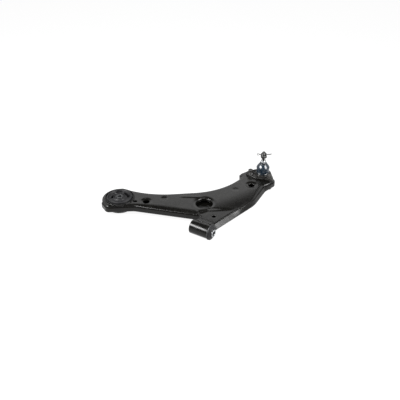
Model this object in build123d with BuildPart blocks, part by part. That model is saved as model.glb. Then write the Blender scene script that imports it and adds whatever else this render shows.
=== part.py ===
from build123d import *
from math import cos, radians, sin
import os

os.makedirs("parts", exist_ok=True)

# Front lower control arm, left side, pressed steel box section.
# Origin: centre of the front bush bore. +X: along that bore, away from the
# rear bush. +Y: outboard, towards the ball joint. +Z: up. Millimetres.

# ---- driving dimensions: box section -------------------------------------
SHEET = 3.0
TOP_Z = 14.0            # top face of the upper pressing
SEAM_Z = 6.0            # top edge of the lower pressing's wall
SKIRT_Z = -3.0          # lower edge of the upper pressing's wall
BOTTOM_Z = -9.0         # underside of the lower pressing
SEAM_GAP = 0.2
TOP_ROUND = 4.5
BOTTOM_ROUND = 4.0
UPPER_INSET = SHEET + SEAM_GAP
CUT_LENGTH = 200.0      # cutters that pass right through a part

# Plan outline of the lower pressing: corner x, y and corner radius.
ARM_CORNERS = [
    (-334, 48, 10),      # rear end, outboard tip
    (-232, 58, 270),     # long hollow sweep along the outboard side
    (-56, 190, 208),
    (-32, 296, 12),      # rear ear of the ball joint end
    (-48, 314, 11),
    (-34, 346, 12),
    (64, 352, 12),       # front ear of the ball joint end
    (75, 334, 12),
    (63.5, 288, 40),
    (70, 200, 130),      # leading edge, down to the front bush
    (31, 30, 20),
    (29, 8, 9),
    (-32, 8, 9),
    (-33, 45, 5),
    (-236, -20, 40),     # inboard edge, back to the rear bush
    (-305, -69, 12),
    (-339, -51, 12),
]

# Round lobe of the upper pressing behind the rear bush: it overhangs the lower one
# from its underside LOBE_LOW up to the top face, and ends at the line x = LOBE_END_X.
LOBE_R = 55.0
LOBE_LOW = 6.6
LOBE_END_X = -322.0

# Lower step of the top face beside the front bush.
SHELF_Z = 8.0
SHELF_CORNERS = [(-60, 28), (-33, 84), (50, 136), (100, 130), (60, 0), (-60, 0)]

# ---- holes and dimples in the top face: x, y, radius ----------------------
MAIN_HOLE = (-58, 106, 25.5)
MAIN_HOLE_LIP = 10.0
REAR_HOLE = (-217, 21, 10.5)
OUTER_HOLE = (20, 273, 10.0)
SHELF_HOLE = (0, 65, 5.0)
SLOT_CENTRE = (-247, 1)
SLOT_LENGTH = 12.0
SLOT_WIDTH = 5.0
SLOT_ANGLE = 30.0
ROUND_DIMPLES = [(-217, 21, 15.5), (20, 273, 17.5), (-178, 63, 9.0), (-11, 222, 10.0)]
DIMPLE_DEPTH = 1.8
DRAIN_HOLES = [(-262, 22, 5.0), (-120, 70, 6.0), (10, 150, 6.0), (40, 230, 6.0)]

# ---- front bush, lying along X --------------------------------------------
FRONT_TUBE_R = 21.5
FRONT_TUBE_WALL = 3.0
FRONT_TUBE_X = (-36.5, 24.5)
FRONT_TUBE_CHAMFER = 0.8
FRONT_SLEEVE_WALL = 2.0
FRONT_FLANGE_R = 23.4
FRONT_FLANGE_T = 2.4
FRONT_FLANGE_ROOM = 1.0         # gap between the flange and the pressings behind it
FRONT_RUBBER_BACK = -37.4
FRONT_NOSE = [(30.5, 23.0), (35.5, 15.0)]      # rubber in front of the flange: x, radius
FRONT_INNER_R = 12.0
FRONT_INNER_HALF = 38.0
SLEEVE_CHAMFER = 0.6
BUSH_BOLT_HOLE_R = 7.1
PRESS_GAP = 0.05

# Saddle between the tube's crown and the shelf: its ends in x, and its side view
# as (y, z) points.
BRACKET_X = (-29.0, 23.5)
BRACKET_SIDE = [(8, 19), (8, 21.9), (15, 22.2), (33, 16.5), (50, 10.9), (50, 8.1), (31, 13.6), (15, 15)]
BRACKET_ROUND = 1.0

# ---- rear bush, standing along Z ------------------------------------------
REAR_XY = (-300.0, -5.0)
REAR_RING_R = 45.4
REAR_RING_WALL = 1.6
REAR_RING_LOW = -14.0
REAR_RING_TOP = 17.0
REAR_SLEEVE_WALL = 2.3
REAR_SLEEVE_LOW = -16.0
REAR_SLEEVE_TOP = 13.0
REAR_RUBBER_LOW = -18.0
REAR_FACE_Z = 14.5
REAR_RIM_Z = 19.5
REAR_RIM_INNER_R = 35.5
REAR_BOSS_R = 17.0
REAR_BOSS_Z = 16.5
REAR_FACE_DRAFT = 1.5   # how far the walls of the rim and the boss lean in plan
REAR_LIP_R = 39.2       # the rim's outer radius above the sleeve, inside a groove
REAR_CORE_R = 9.6
REAR_CORE_LOW = -21.5
REAR_CORE_TOP = 18.5
# Kidney-shaped voids through the rubber: mid radius, width, middle angle, span.
REAR_VOIDS = [(27.5, 10.0, 64.0, 44.0), (30.5, 7.0, 131.0, 24.0), (23.5, 7.0, 200.0, 20.0)]
REAR_NUB_ANGLES = [84.0, 214.0, 279.0]
REAR_NUB_RING_R = 12.6
REAR_NUB_R = 3.2

# ---- ball joint ------------------------------------------------------------
BALL_XY = (23.0, 347.0)
BALL_Z = 6.0
BALL_R = 13.5
NOTCH_R = 22.5
PLATE_R = 27.0
PLATE_ROUND = 2.0
NOTCH_CORNER_R = 8.5
PLATE_Z = TOP_Z
PLATE_TOP = 24.0
SOCKET_R = 20.5
SOCKET_LOW = -14.0
SEAT_R = 16.5
SEAT_LOW = -9.5
SEAT_TOP = 13.0
SEAT_FIT = 0.05
THROAT_R = 12.6
MOUTH_R = 17.2
COVER_R = 18.0
COVER_T = 2.5
BOLT_XY = [(-12.0, 328.0), (57.0, 329.0)]
PLATE_EAR_R = [14.0, 11.5]
PLATE_NEAR = (15.0, 326.0, 17.0)
BOLT_R = 5.0
BOLT_HOLE_R = 5.3
SLEEVE_R = 8.0
HEAD_FLANGE_R = 9.0
HEAD_FLANGE_T = 2.0
HEAD_FLATS = 14.0
HEAD_H = 8.0
BOLT_NUT_H = 10.0
BOLT_END_Z = -21.5

NECK_R = 6.8
NECK_TOP = 44.0
TAPER_LOW = (9.0, 52.0)
TAPER_TOP = (8.0, 68.0)
THREAD_R = 6.0
THREAD_STEP = 0.5       # height of the cone between the taper and the thread
STUD_TOP = 100.0
THREAD_CHAMFER = 1.0
PIN_Z = 91.0
PIN_HOLE_R = 1.7
NUT_LOW = 80.0
NUT_HEX_H = 8.0
NUT_H = 14.0
NUT_FLATS = 19.0
NUT_CHAMFER = 0.5
CROWN_R = 8.9
CROWN_SLOT_W = 3.4
CROWN_SLOT_DEPTH = 4.8
PIN_R = 1.45
PIN_ANGLE = 31.0        # direction of the split pin about Z
PIN_BACK = -19.5
PIN_FRONT = 26.0
PIN_EYE_R = 3.2
PIN_EYE_WIRE = 1.2
PIN_SPLIT = 0.3

BOOT_BASE_Z = 24.5
BOOT_BASE_R = 20.5
BOOT_BAND = (20.8, 36.5)       # half section of the boot from here up: (radius, z)
BOOT_WAIST = (19.6, 38.5)
BOOT_LOWER_MID = (21.2, 41.5)
BOOT_BULGE = (21.4, 45.0)
BOOT_UPPER_MID = (17.8, 52.0)
BOOT_SHOULDER = (10.8, 56.5)
BOOT_WALL = 2.2
BOOT_TOP_Z = 60.0
BOOT_LIP_R = 10.8
BOOT_LIP_BORE = 9.2
RING_GAP = 0.3
LOWER_RING_Z = 27.5
LOWER_RING_WIRE = 0.8
UPPER_RING_WIRE = 0.6
UPPER_RING_Z = 58.0


def arm_profile(inset):
    """Plan outline of the arm, moved in by `inset`, with the notch for the socket."""
    corners = [(x, y) for x, y, r in ARM_CORNERS]
    radii = [r for x, y, r in ARM_CORNERS]
    with BuildSketch() as profile:
        with BuildLine():
            FilletPolyline(*corners, radius=radii, close=True)
        make_face()
        with Locations(BALL_XY):
            Circle(NOTCH_R, mode=Mode.SUBTRACT)
        fillet(profile.vertices().sort_by_distance(BALL_XY)[:2], NOTCH_CORNER_R)
        if inset:
            offset(amount=-inset)
    return profile.sketch


def upper_form(inset, drop, round_r):
    """The solid that one face of the upper pressing bounds, `drop` below the top."""
    with BuildPart() as form:
        with BuildSketch(Plane.XY.offset(SKIRT_Z)):
            add(arm_profile(inset))
        extrude(amount=TOP_Z - drop - SKIRT_Z)
        fillet(form.faces().sort_by(Axis.Z)[-1].edges(), round_r)
        with BuildSketch(Plane.XY.offset(SHELF_Z - drop)):
            Polygon(*SHELF_CORNERS, align=None)
            if drop:
                offset(amount=drop)
        extrude(amount=TOP_Z, mode=Mode.SUBTRACT)
    return form.part


def standing_plane(xy):
    """A vertical plane at xy: local x is the radius there, local y is the height."""
    return Plane(origin=(xy[0], xy[1], 0), x_dir=(1, 0, 0), z_dir=(0, -1, 0))


def inward(point):
    """A point of the boot's half section, moved in by the wall."""
    return (point[0] - BOOT_WALL, point[1])


def standing_axis(xy):
    """The vertical axis through xy."""
    return Axis((xy[0], xy[1], 0), (0, 0, 1))


def polar_point(centre, radius, angle, z):
    """The point at a radius and an angle in degrees about a centre, at height z."""
    x = centre[0] + radius * cos(radians(angle))
    y = centre[1] + radius * sin(radians(angle))
    return (x, y, z)


# Middle and direction of the cutter that clears both pressings from the front flange.
flange_room = Location((FRONT_TUBE_X[1] - FRONT_FLANGE_ROOM + CUT_LENGTH / 4, 0, 0), (0, 90, 0))

# ---- upper pressing: an inverted tray nested inside the lower one -----------
upper_outside = upper_form(UPPER_INSET, 0, TOP_ROUND)
upper_inside = upper_form(UPPER_INSET + SHEET, SHEET, TOP_ROUND - SHEET)

with BuildPart() as rear_lobe:
    with BuildSketch(Plane.XY.offset(LOBE_LOW)):
        with Locations(REAR_XY):
            Circle(LOBE_R)
    extrude(amount=TOP_Z - LOBE_LOW)
    fillet(rear_lobe.faces().sort_by(Axis.Z)[-1].edges(), TOP_ROUND)
    with BuildSketch(Plane.XY.offset(LOBE_LOW)):
        with Locations(REAR_XY):
            Circle(LOBE_R - SHEET)
    extrude(amount=TOP_Z - SHEET - LOBE_LOW, mode=Mode.SUBTRACT)
    with Locations((LOBE_END_X, REAR_XY[1], TOP_Z)):
        Box(CUT_LENGTH, CUT_LENGTH, CUT_LENGTH, align=(Align.MIN, Align.CENTER, Align.CENTER),
            mode=Mode.SUBTRACT)

with BuildPart() as upper_shell:
    add(upper_outside)
    add(upper_inside, mode=Mode.SUBTRACT)
    add(rear_lobe.part)
    hole_x, hole_y, hole_r = MAIN_HOLE
    with BuildSketch(Plane.XY.offset(TOP_Z - MAIN_HOLE_LIP)):
        with Locations((hole_x, hole_y)):
            Circle(hole_r + SHEET)
    extrude(amount=MAIN_HOLE_LIP)
    for x, y, r in ROUND_DIMPLES:
        with Locations((x, y, TOP_Z - SHEET - DIMPLE_DEPTH / 2)):
            Cylinder(r, DIMPLE_DEPTH)
        with Locations((x, y, TOP_Z - DIMPLE_DEPTH / 2)):
            Cone(r - DIMPLE_DEPTH, r, DIMPLE_DEPTH, mode=Mode.SUBTRACT)
    for x, y, r in [MAIN_HOLE, REAR_HOLE, OUTER_HOLE, SHELF_HOLE]:
        with Locations((x, y, 0)):
            Cylinder(r, CUT_LENGTH, mode=Mode.SUBTRACT)
    with BuildSketch(Plane.XY):
        with Locations(SLOT_CENTRE):
            SlotOverall(SLOT_LENGTH, SLOT_WIDTH, rotation=SLOT_ANGLE)
        with Locations(BOLT_XY):
            Circle(BOLT_HOLE_R)
    extrude(amount=2 * TOP_Z, mode=Mode.SUBTRACT)
    with Locations(REAR_XY + (0,)):
        Cylinder(REAR_RING_R + PRESS_GAP, CUT_LENGTH, mode=Mode.SUBTRACT)
    Cylinder(FRONT_TUBE_R + PRESS_GAP, CUT_LENGTH, rotation=(0, 90, 0), mode=Mode.SUBTRACT)
    with Locations(flange_room):
        Cylinder(FRONT_FLANGE_R + FRONT_FLANGE_ROOM, CUT_LENGTH / 2, mode=Mode.SUBTRACT)

upper_shell.part.label = "upper_shell"
export_step(upper_shell.part, "parts/upper_shell.step")

# ---- lower pressing: a tray whose wall stands up outside the upper one ------
with BuildPart() as lower_shell:
    with BuildSketch(Plane.XY.offset(BOTTOM_Z)):
        add(arm_profile(0))
    extrude(amount=SEAM_Z - BOTTOM_Z)
    fillet(lower_shell.faces().sort_by(Axis.Z)[0].edges(), BOTTOM_ROUND)
    with BuildSketch(Plane.XY.offset(BOTTOM_Z + SHEET)):
        add(arm_profile(SHEET))
    extrude(amount=SEAM_Z - BOTTOM_Z, mode=Mode.SUBTRACT)
    for x, y, r in DRAIN_HOLES:
        with Locations((x, y, BOTTOM_Z)):
            Cylinder(r, CUT_LENGTH, mode=Mode.SUBTRACT)
    with Locations([(x, y, BOTTOM_Z) for x, y in BOLT_XY]):
        Cylinder(BOLT_HOLE_R, CUT_LENGTH, mode=Mode.SUBTRACT)
    with Locations(REAR_XY + (0,)):
        Cylinder(REAR_RING_R + PRESS_GAP, CUT_LENGTH, mode=Mode.SUBTRACT)
    Cylinder(FRONT_TUBE_R + PRESS_GAP, CUT_LENGTH, rotation=(0, 90, 0), mode=Mode.SUBTRACT)
    with Locations(flange_room):
        Cylinder(FRONT_FLANGE_R + FRONT_FLANGE_ROOM, CUT_LENGTH / 2, mode=Mode.SUBTRACT)

lower_shell.part.label = "lower_shell"
export_step(lower_shell.part, "parts/lower_shell.step")

# ---- front bush tube, welded into the mouth of the box section --------------
with BuildPart() as front_bush_tube:
    with BuildSketch(Plane.YZ.offset(FRONT_TUBE_X[0])):
        Circle(FRONT_TUBE_R)
        Circle(FRONT_TUBE_R - FRONT_TUBE_WALL, mode=Mode.SUBTRACT)
    extrude(amount=FRONT_TUBE_X[1] - FRONT_TUBE_X[0])
    chamfer(front_bush_tube.edges().filter_by(GeomType.CIRCLE), FRONT_TUBE_CHAMFER)

front_bush_tube.part.label = "front_bush_tube"
export_step(front_bush_tube.part, "parts/front_bush_tube.step")

# ---- saddle bracket from the tube's crown back onto the shelf ----------------
with BuildPart() as front_bush_bracket:
    with BuildSketch(Plane.YZ.offset(BRACKET_X[0])):
        with BuildLine():
            Polyline(*BRACKET_SIDE, close=True)
        make_face()
        Circle(FRONT_TUBE_R + PRESS_GAP, mode=Mode.SUBTRACT)
    extrude(amount=BRACKET_X[1] - BRACKET_X[0])
    fillet(front_bush_bracket.edges().filter_by(Axis.X).group_by(Axis.Z)[-1], BRACKET_ROUND)

front_bush_bracket.part.label = "front_bush_bracket"
export_step(front_bush_bracket.part, "parts/front_bush_bracket.step")

# ---- front bush ----------------------------------------------------------------
front_sleeve_r = FRONT_TUBE_R - FRONT_TUBE_WALL - PRESS_GAP
flange_back = FRONT_TUBE_X[1] + PRESS_GAP
flange_front = flange_back + FRONT_FLANGE_T
with BuildPart() as front_bush_outer_sleeve:
    with BuildSketch(Plane.YZ.offset(flange_back)):
        Circle(FRONT_FLANGE_R)
    extrude(amount=FRONT_FLANGE_T)
    fillet(front_bush_outer_sleeve.edges().filter_by(GeomType.CIRCLE), FRONT_FLANGE_T / 3)
    with BuildSketch(Plane.YZ.offset(FRONT_TUBE_X[0])):
        Circle(front_sleeve_r)
    extrude(amount=flange_front - FRONT_TUBE_X[0])
    Cylinder(front_sleeve_r - FRONT_SLEEVE_WALL, CUT_LENGTH, rotation=(0, 90, 0), mode=Mode.SUBTRACT)

front_bush_outer_sleeve.part.label = "front_bush_outer_sleeve"
export_step(front_bush_outer_sleeve.part, "parts/front_bush_outer_sleeve.step")

front_rubber_r = front_sleeve_r - FRONT_SLEEVE_WALL - PRESS_GAP
front_bore_r = FRONT_INNER_R + PRESS_GAP
nose_back = flange_front + PRESS_GAP
with BuildPart() as front_bush_rubber:
    with BuildSketch(Plane.XY):
        Polygon(
            (FRONT_RUBBER_BACK, front_bore_r),
            (FRONT_RUBBER_BACK, front_rubber_r),
            (nose_back, front_rubber_r),
            (nose_back, FRONT_NOSE[0][1]),
            FRONT_NOSE[0],
            FRONT_NOSE[1],
            (FRONT_NOSE[1][0], front_bore_r),
            align=None,
        )
    revolve(axis=Axis.X)

front_bush_rubber.part.label = "front_bush_rubber"
export_step(front_bush_rubber.part, "parts/front_bush_rubber.step")

with BuildPart() as front_bush_inner_sleeve:
    with BuildSketch(Plane.YZ.offset(-FRONT_INNER_HALF)):
        Circle(FRONT_INNER_R)
        Circle(BUSH_BOLT_HOLE_R, mode=Mode.SUBTRACT)
    extrude(amount=2 * FRONT_INNER_HALF)
    chamfer(front_bush_inner_sleeve.edges().filter_by(GeomType.CIRCLE), SLEEVE_CHAMFER)

front_bush_inner_sleeve.part.label = "front_bush_inner_sleeve"
export_step(front_bush_inner_sleeve.part, "parts/front_bush_inner_sleeve.step")

# ---- rear bush housing ring, welded through both pressings -----------------------
with BuildPart() as rear_bush_housing:
    with BuildSketch(Plane.XY.offset(REAR_RING_LOW)):
        with Locations(REAR_XY):
            Circle(REAR_RING_R)
            Circle(REAR_RING_R - REAR_RING_WALL, mode=Mode.SUBTRACT)
    extrude(amount=REAR_RING_TOP - REAR_RING_LOW)
    fillet(rear_bush_housing.faces().sort_by(Axis.Z)[-1].edges(), REAR_RING_WALL / 3)

rear_bush_housing.part.label = "rear_bush_housing"
export_step(rear_bush_housing.part, "parts/rear_bush_housing.step")

# ---- rear bush --------------------------------------------------------------------
rear_sleeve_r = REAR_RING_R - REAR_RING_WALL - PRESS_GAP
with BuildPart() as rear_bush_outer_sleeve:
    with BuildSketch(Plane.XY.offset(REAR_SLEEVE_LOW)):
        with Locations(REAR_XY):
            Circle(rear_sleeve_r)
            Circle(rear_sleeve_r - REAR_SLEEVE_WALL, mode=Mode.SUBTRACT)
    extrude(amount=REAR_SLEEVE_TOP - REAR_SLEEVE_LOW)

rear_bush_outer_sleeve.part.label = "rear_bush_outer_sleeve"
export_step(rear_bush_outer_sleeve.part, "parts/rear_bush_outer_sleeve.step")

rear_rubber_r = rear_sleeve_r - REAR_SLEEVE_WALL - PRESS_GAP
rear_bore_r = REAR_CORE_R + PRESS_GAP
REAR_RUBBER_PROFILE = [
    (rear_bore_r, REAR_RUBBER_LOW),
    (rear_rubber_r, REAR_RUBBER_LOW),
    (rear_rubber_r, REAR_SLEEVE_TOP),
    (REAR_LIP_R, REAR_SLEEVE_TOP),
    (REAR_LIP_R, REAR_RIM_Z),
    (REAR_RIM_INNER_R, REAR_RIM_Z),
    (REAR_RIM_INNER_R - REAR_FACE_DRAFT, REAR_FACE_Z),
    (REAR_BOSS_R, REAR_FACE_Z),
    (REAR_BOSS_R - REAR_FACE_DRAFT, REAR_BOSS_Z),
    (rear_bore_r, REAR_BOSS_Z),
]
void_lines = [CenterArc((0, 0), mid_r, angle - span / 2, span) for mid_r, width, angle, span in REAR_VOIDS]

with BuildPart() as rear_bush_rubber:
    with BuildSketch(standing_plane(REAR_XY)):
        Polygon(*REAR_RUBBER_PROFILE, align=None)
    revolve(axis=standing_axis(REAR_XY))
    with Locations([polar_point(REAR_XY, REAR_NUB_RING_R, a, REAR_BOSS_Z) for a in REAR_NUB_ANGLES]):
        Sphere(REAR_NUB_R)
    with Locations(REAR_XY + (0,)):
        Cylinder(rear_bore_r, CUT_LENGTH, mode=Mode.SUBTRACT)
    with BuildSketch(Plane(REAR_XY + (REAR_RUBBER_LOW,))):
        for line, void in zip(void_lines, REAR_VOIDS):
            SlotArc(line, void[1])
    extrude(amount=REAR_RIM_Z - REAR_RUBBER_LOW, mode=Mode.SUBTRACT)

rear_bush_rubber.part.label = "rear_bush_rubber"
export_step(rear_bush_rubber.part, "parts/rear_bush_rubber.step")

with BuildPart() as rear_bush_core:
    with BuildSketch(Plane.XY.offset(REAR_CORE_LOW)):
        with Locations(REAR_XY):
            Circle(REAR_CORE_R)
            Circle(BUSH_BOLT_HOLE_R, mode=Mode.SUBTRACT)
    extrude(amount=REAR_CORE_TOP - REAR_CORE_LOW)
    chamfer(rear_bush_core.edges().filter_by(GeomType.CIRCLE), SLEEVE_CHAMFER)

rear_bush_core.part.label = "rear_bush_core"
export_step(rear_bush_core.part, "parts/rear_bush_core.step")

# ---- ball joint housing: forged plate with the socket under it ------------------
with BuildPart() as ball_joint_housing:
    with BuildSketch(Plane.XY.offset(PLATE_Z)):
        with Locations(BALL_XY):
            Circle(PLATE_R)
        for bolt, ear_r in zip(BOLT_XY, PLATE_EAR_R):
            with Locations(bolt):
                Circle(ear_r)
        with Locations(PLATE_NEAR[:2]):
            Circle(PLATE_NEAR[2])
        make_hull()
    extrude(amount=PLATE_TOP - PLATE_Z)
    fillet(ball_joint_housing.faces().sort_by(Axis.Z)[-1].edges(), PLATE_ROUND)
    with BuildSketch(Plane.XY.offset(SOCKET_LOW)):
        with Locations(BALL_XY):
            Circle(SOCKET_R)
    extrude(amount=PLATE_TOP - SOCKET_LOW)
    with BuildSketch(standing_plane(BALL_XY)):
        Polygon(
            (0, SOCKET_LOW),
            (COVER_R, SOCKET_LOW),
            (COVER_R, SEAT_LOW),
            (SEAT_R, SEAT_LOW),
            (SEAT_R, SEAT_TOP),
            (THROAT_R, SEAT_TOP),
            (MOUTH_R, PLATE_TOP),
            (0, PLATE_TOP),
            align=None,
        )
    revolve(axis=standing_axis(BALL_XY), mode=Mode.SUBTRACT)
    with Locations([(x, y, PLATE_Z) for x, y in BOLT_XY]):
        Cylinder(BOLT_HOLE_R, CUT_LENGTH, mode=Mode.SUBTRACT)

ball_joint_housing.part.label = "ball_joint_housing"
export_step(ball_joint_housing.part, "parts/ball_joint_housing.step")

with BuildPart() as ball_seat:
    with BuildSketch(Plane.XY.offset(SEAT_LOW)):
        with Locations(BALL_XY):
            Circle(SEAT_R - PRESS_GAP)
    extrude(amount=SEAT_TOP - SEAT_LOW - PRESS_GAP)
    with Locations(BALL_XY + (BALL_Z,)):
        Sphere(BALL_R + SEAT_FIT, mode=Mode.SUBTRACT)

ball_seat.part.label = "ball_seat"
export_step(ball_seat.part, "parts/ball_seat.step")

with BuildPart() as ball_joint_cover:
    with BuildSketch(Plane.XY.offset(SEAT_LOW - COVER_T)):
        with Locations(BALL_XY):
            Circle(COVER_R - PRESS_GAP)
    extrude(amount=COVER_T)
    chamfer(ball_joint_cover.faces().sort_by(Axis.Z)[0].edges(), COVER_T / 3)

ball_joint_cover.part.label = "ball_joint_cover"
export_step(ball_joint_cover.part, "parts/ball_joint_cover.step")

# Plane square to the split pin, at the stud's axis: local x is up.
pin_direction = (cos(radians(PIN_ANGLE)), sin(radians(PIN_ANGLE)), 0)
pin_sideways = (-pin_direction[1], pin_direction[0], 0)
pin_plane = Plane(origin=BALL_XY + (PIN_Z,), x_dir=(0, 0, 1), z_dir=pin_direction)

# ---- ball stud: ball, neck, taper and threaded end ---------------------------------
neck_z = BALL_Z + (BALL_R**2 - NECK_R**2) ** 0.5
with BuildPart() as ball_stud:
    with BuildSketch(standing_plane(BALL_XY)):
        with BuildLine():
            Polyline(
                (NECK_R, neck_z),
                (NECK_R, NECK_TOP),
                TAPER_LOW,
                TAPER_TOP,
                (THREAD_R, TAPER_TOP[1] + THREAD_STEP),
                (THREAD_R, STUD_TOP - THREAD_CHAMFER),
                (THREAD_R - THREAD_CHAMFER, STUD_TOP),
                (0, STUD_TOP),
                (0, BALL_Z - BALL_R),
            )
            ThreePointArc((0, BALL_Z - BALL_R), (BALL_R, BALL_Z), (NECK_R, neck_z))
        make_face()
    revolve(axis=standing_axis(BALL_XY))
    with BuildSketch(pin_plane.offset(-2 * THREAD_R)):
        Circle(PIN_HOLE_R)
    extrude(amount=4 * THREAD_R, mode=Mode.SUBTRACT)

ball_stud.part.label = "ball_stud"
export_step(ball_stud.part, "parts/ball_stud.step")

with BuildPart() as castle_nut:
    with BuildSketch(Plane(BALL_XY + (NUT_LOW,))):
        RegularPolygon(NUT_FLATS / 2, 6, major_radius=False, rotation=PIN_ANGLE)
    extrude(amount=NUT_HEX_H)
    with BuildSketch(Plane(BALL_XY + (NUT_LOW,))):
        Circle(CROWN_R)
    extrude(amount=NUT_H)
    chamfer(castle_nut.faces().sort_by(Axis.Z)[-1].edges(), NUT_CHAMFER)
    with BuildSketch(Plane(BALL_XY + (NUT_LOW + NUT_H - CROWN_SLOT_DEPTH,))):
        with PolarLocations(0, 3, start_angle=PIN_ANGLE):
            Rectangle(CUT_LENGTH, CROWN_SLOT_W)
    extrude(amount=CROWN_SLOT_DEPTH, mode=Mode.SUBTRACT)
    with BuildSketch(Plane(BALL_XY + (NUT_LOW,))):
        Circle(THREAD_R + PRESS_GAP)
    extrude(amount=NUT_H, mode=Mode.SUBTRACT)

castle_nut.part.label = "castle_nut"
export_step(castle_nut.part, "parts/castle_nut.step")

# ---- split pin: two half-round legs under one eye -----------------------------------
eye_plane = Plane(origin=pin_plane.offset(PIN_BACK - PIN_EYE_R).origin, z_dir=pin_sideways)
with BuildPart() as cotter_pin:
    with BuildSketch(pin_plane.offset(PIN_BACK)):
        Circle(PIN_R)
    extrude(amount=PIN_FRONT - PIN_BACK)
    with BuildSketch(pin_plane.offset(PIN_BACK + PIN_EYE_R)):
        Rectangle(PIN_SPLIT, 3 * PIN_R)
    extrude(amount=PIN_FRONT - PIN_BACK, mode=Mode.SUBTRACT)
    with Locations(eye_plane):
        Torus(PIN_EYE_R, PIN_EYE_WIRE)

cotter_pin.part.label = "cotter_pin"
export_step(cotter_pin.part, "parts/cotter_pin.step")

# ---- dust boot: hollow rubber bellows from the housing to the stud ---------------------
with BuildPart() as dust_boot:
    with BuildSketch(standing_plane(BALL_XY)):
        with BuildLine():
            Polyline(BOOT_SHOULDER, (BOOT_LIP_R, BOOT_TOP_Z), (BOOT_LIP_BORE, BOOT_TOP_Z),
                     (BOOT_LIP_BORE, BOOT_SHOULDER[1] - BOOT_WALL))
            ThreePointArc((BOOT_LIP_BORE, BOOT_SHOULDER[1] - BOOT_WALL), inward(BOOT_UPPER_MID),
                          inward(BOOT_BULGE))
            ThreePointArc(inward(BOOT_BULGE), inward(BOOT_LOWER_MID), inward(BOOT_WAIST))
            Polyline(inward(BOOT_WAIST), inward(BOOT_BAND), inward((BOOT_BASE_R, BOOT_BASE_Z)),
                     (BOOT_BASE_R, BOOT_BASE_Z), BOOT_BAND, BOOT_WAIST)
            ThreePointArc(BOOT_WAIST, BOOT_LOWER_MID, BOOT_BULGE)
            ThreePointArc(BOOT_BULGE, BOOT_UPPER_MID, BOOT_SHOULDER)
        make_face()
    revolve(axis=standing_axis(BALL_XY))

dust_boot.part.label = "dust_boot"
export_step(dust_boot.part, "parts/dust_boot.step")

with BuildPart() as boot_lower_ring:
    with Locations(BALL_XY + (LOWER_RING_Z,)):
        Torus(BOOT_BASE_R + RING_GAP + LOWER_RING_WIRE, LOWER_RING_WIRE)

boot_lower_ring.part.label = "boot_lower_ring"
export_step(boot_lower_ring.part, "parts/boot_lower_ring.step")

with BuildPart() as boot_top_ring:
    with Locations(BALL_XY + (UPPER_RING_Z,)):
        Torus(BOOT_LIP_R + RING_GAP + UPPER_RING_WIRE, UPPER_RING_WIRE)

boot_top_ring.part.label = "boot_top_ring"
export_step(boot_top_ring.part, "parts/boot_top_ring.step")

# ---- fasteners of the ball joint: two flange bolts, their nuts and crush sleeves ---------
with BuildPart() as ball_joint_bolts:
    with BuildSketch(Plane.XY.offset(PLATE_TOP)):
        with Locations(BOLT_XY):
            Circle(HEAD_FLANGE_R)
    extrude(amount=HEAD_FLANGE_T)
    with BuildSketch(Plane.XY.offset(PLATE_TOP)):
        with Locations(BOLT_XY):
            RegularPolygon(HEAD_FLATS / 2, 6, major_radius=False)
    extrude(amount=HEAD_H)
    with BuildSketch(Plane.XY.offset(BOLT_END_Z)):
        with Locations(BOLT_XY):
            Circle(BOLT_R)
    extrude(amount=PLATE_TOP - BOLT_END_Z)
    chamfer(ball_joint_bolts.faces().group_by(Axis.Z)[-1].edges(), SLEEVE_CHAMFER)
    chamfer(ball_joint_bolts.faces().group_by(Axis.Z)[0].edges(), SLEEVE_CHAMFER)

ball_joint_bolts.part.label = "ball_joint_bolts"
export_step(ball_joint_bolts.part, "parts/ball_joint_bolts.step")

with BuildPart() as ball_joint_nuts:
    with BuildSketch(Plane.XY.offset(BOTTOM_Z - HEAD_FLANGE_T)):
        with Locations(BOLT_XY):
            Circle(HEAD_FLANGE_R)
    extrude(amount=HEAD_FLANGE_T)
    with BuildSketch(Plane.XY.offset(BOTTOM_Z - BOLT_NUT_H)):
        with Locations(BOLT_XY):
            RegularPolygon(HEAD_FLATS / 2, 6, major_radius=False)
    extrude(amount=BOLT_NUT_H)
    chamfer(ball_joint_nuts.faces().group_by(Axis.Z)[0].edges(), SLEEVE_CHAMFER)
    with Locations([(x, y, BOTTOM_Z) for x, y in BOLT_XY]):
        Cylinder(BOLT_R + PRESS_GAP, CUT_LENGTH, mode=Mode.SUBTRACT)

ball_joint_nuts.part.label = "ball_joint_nuts"
export_step(ball_joint_nuts.part, "parts/ball_joint_nuts.step")

with BuildPart() as crush_sleeves:
    with BuildSketch(Plane.XY.offset(BOTTOM_Z + SHEET)):
        with Locations(BOLT_XY):
            Circle(SLEEVE_R)
            Circle(BOLT_HOLE_R, mode=Mode.SUBTRACT)
    extrude(amount=TOP_Z - BOTTOM_Z - 2 * SHEET)

crush_sleeves.part.label = "crush_sleeves"
export_step(crush_sleeves.part, "parts/crush_sleeves.step")
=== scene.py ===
import math

import bmesh
import bpy
import numpy as np
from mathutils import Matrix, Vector
from mathutils.geometry import delaunay_2d_cdt


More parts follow.
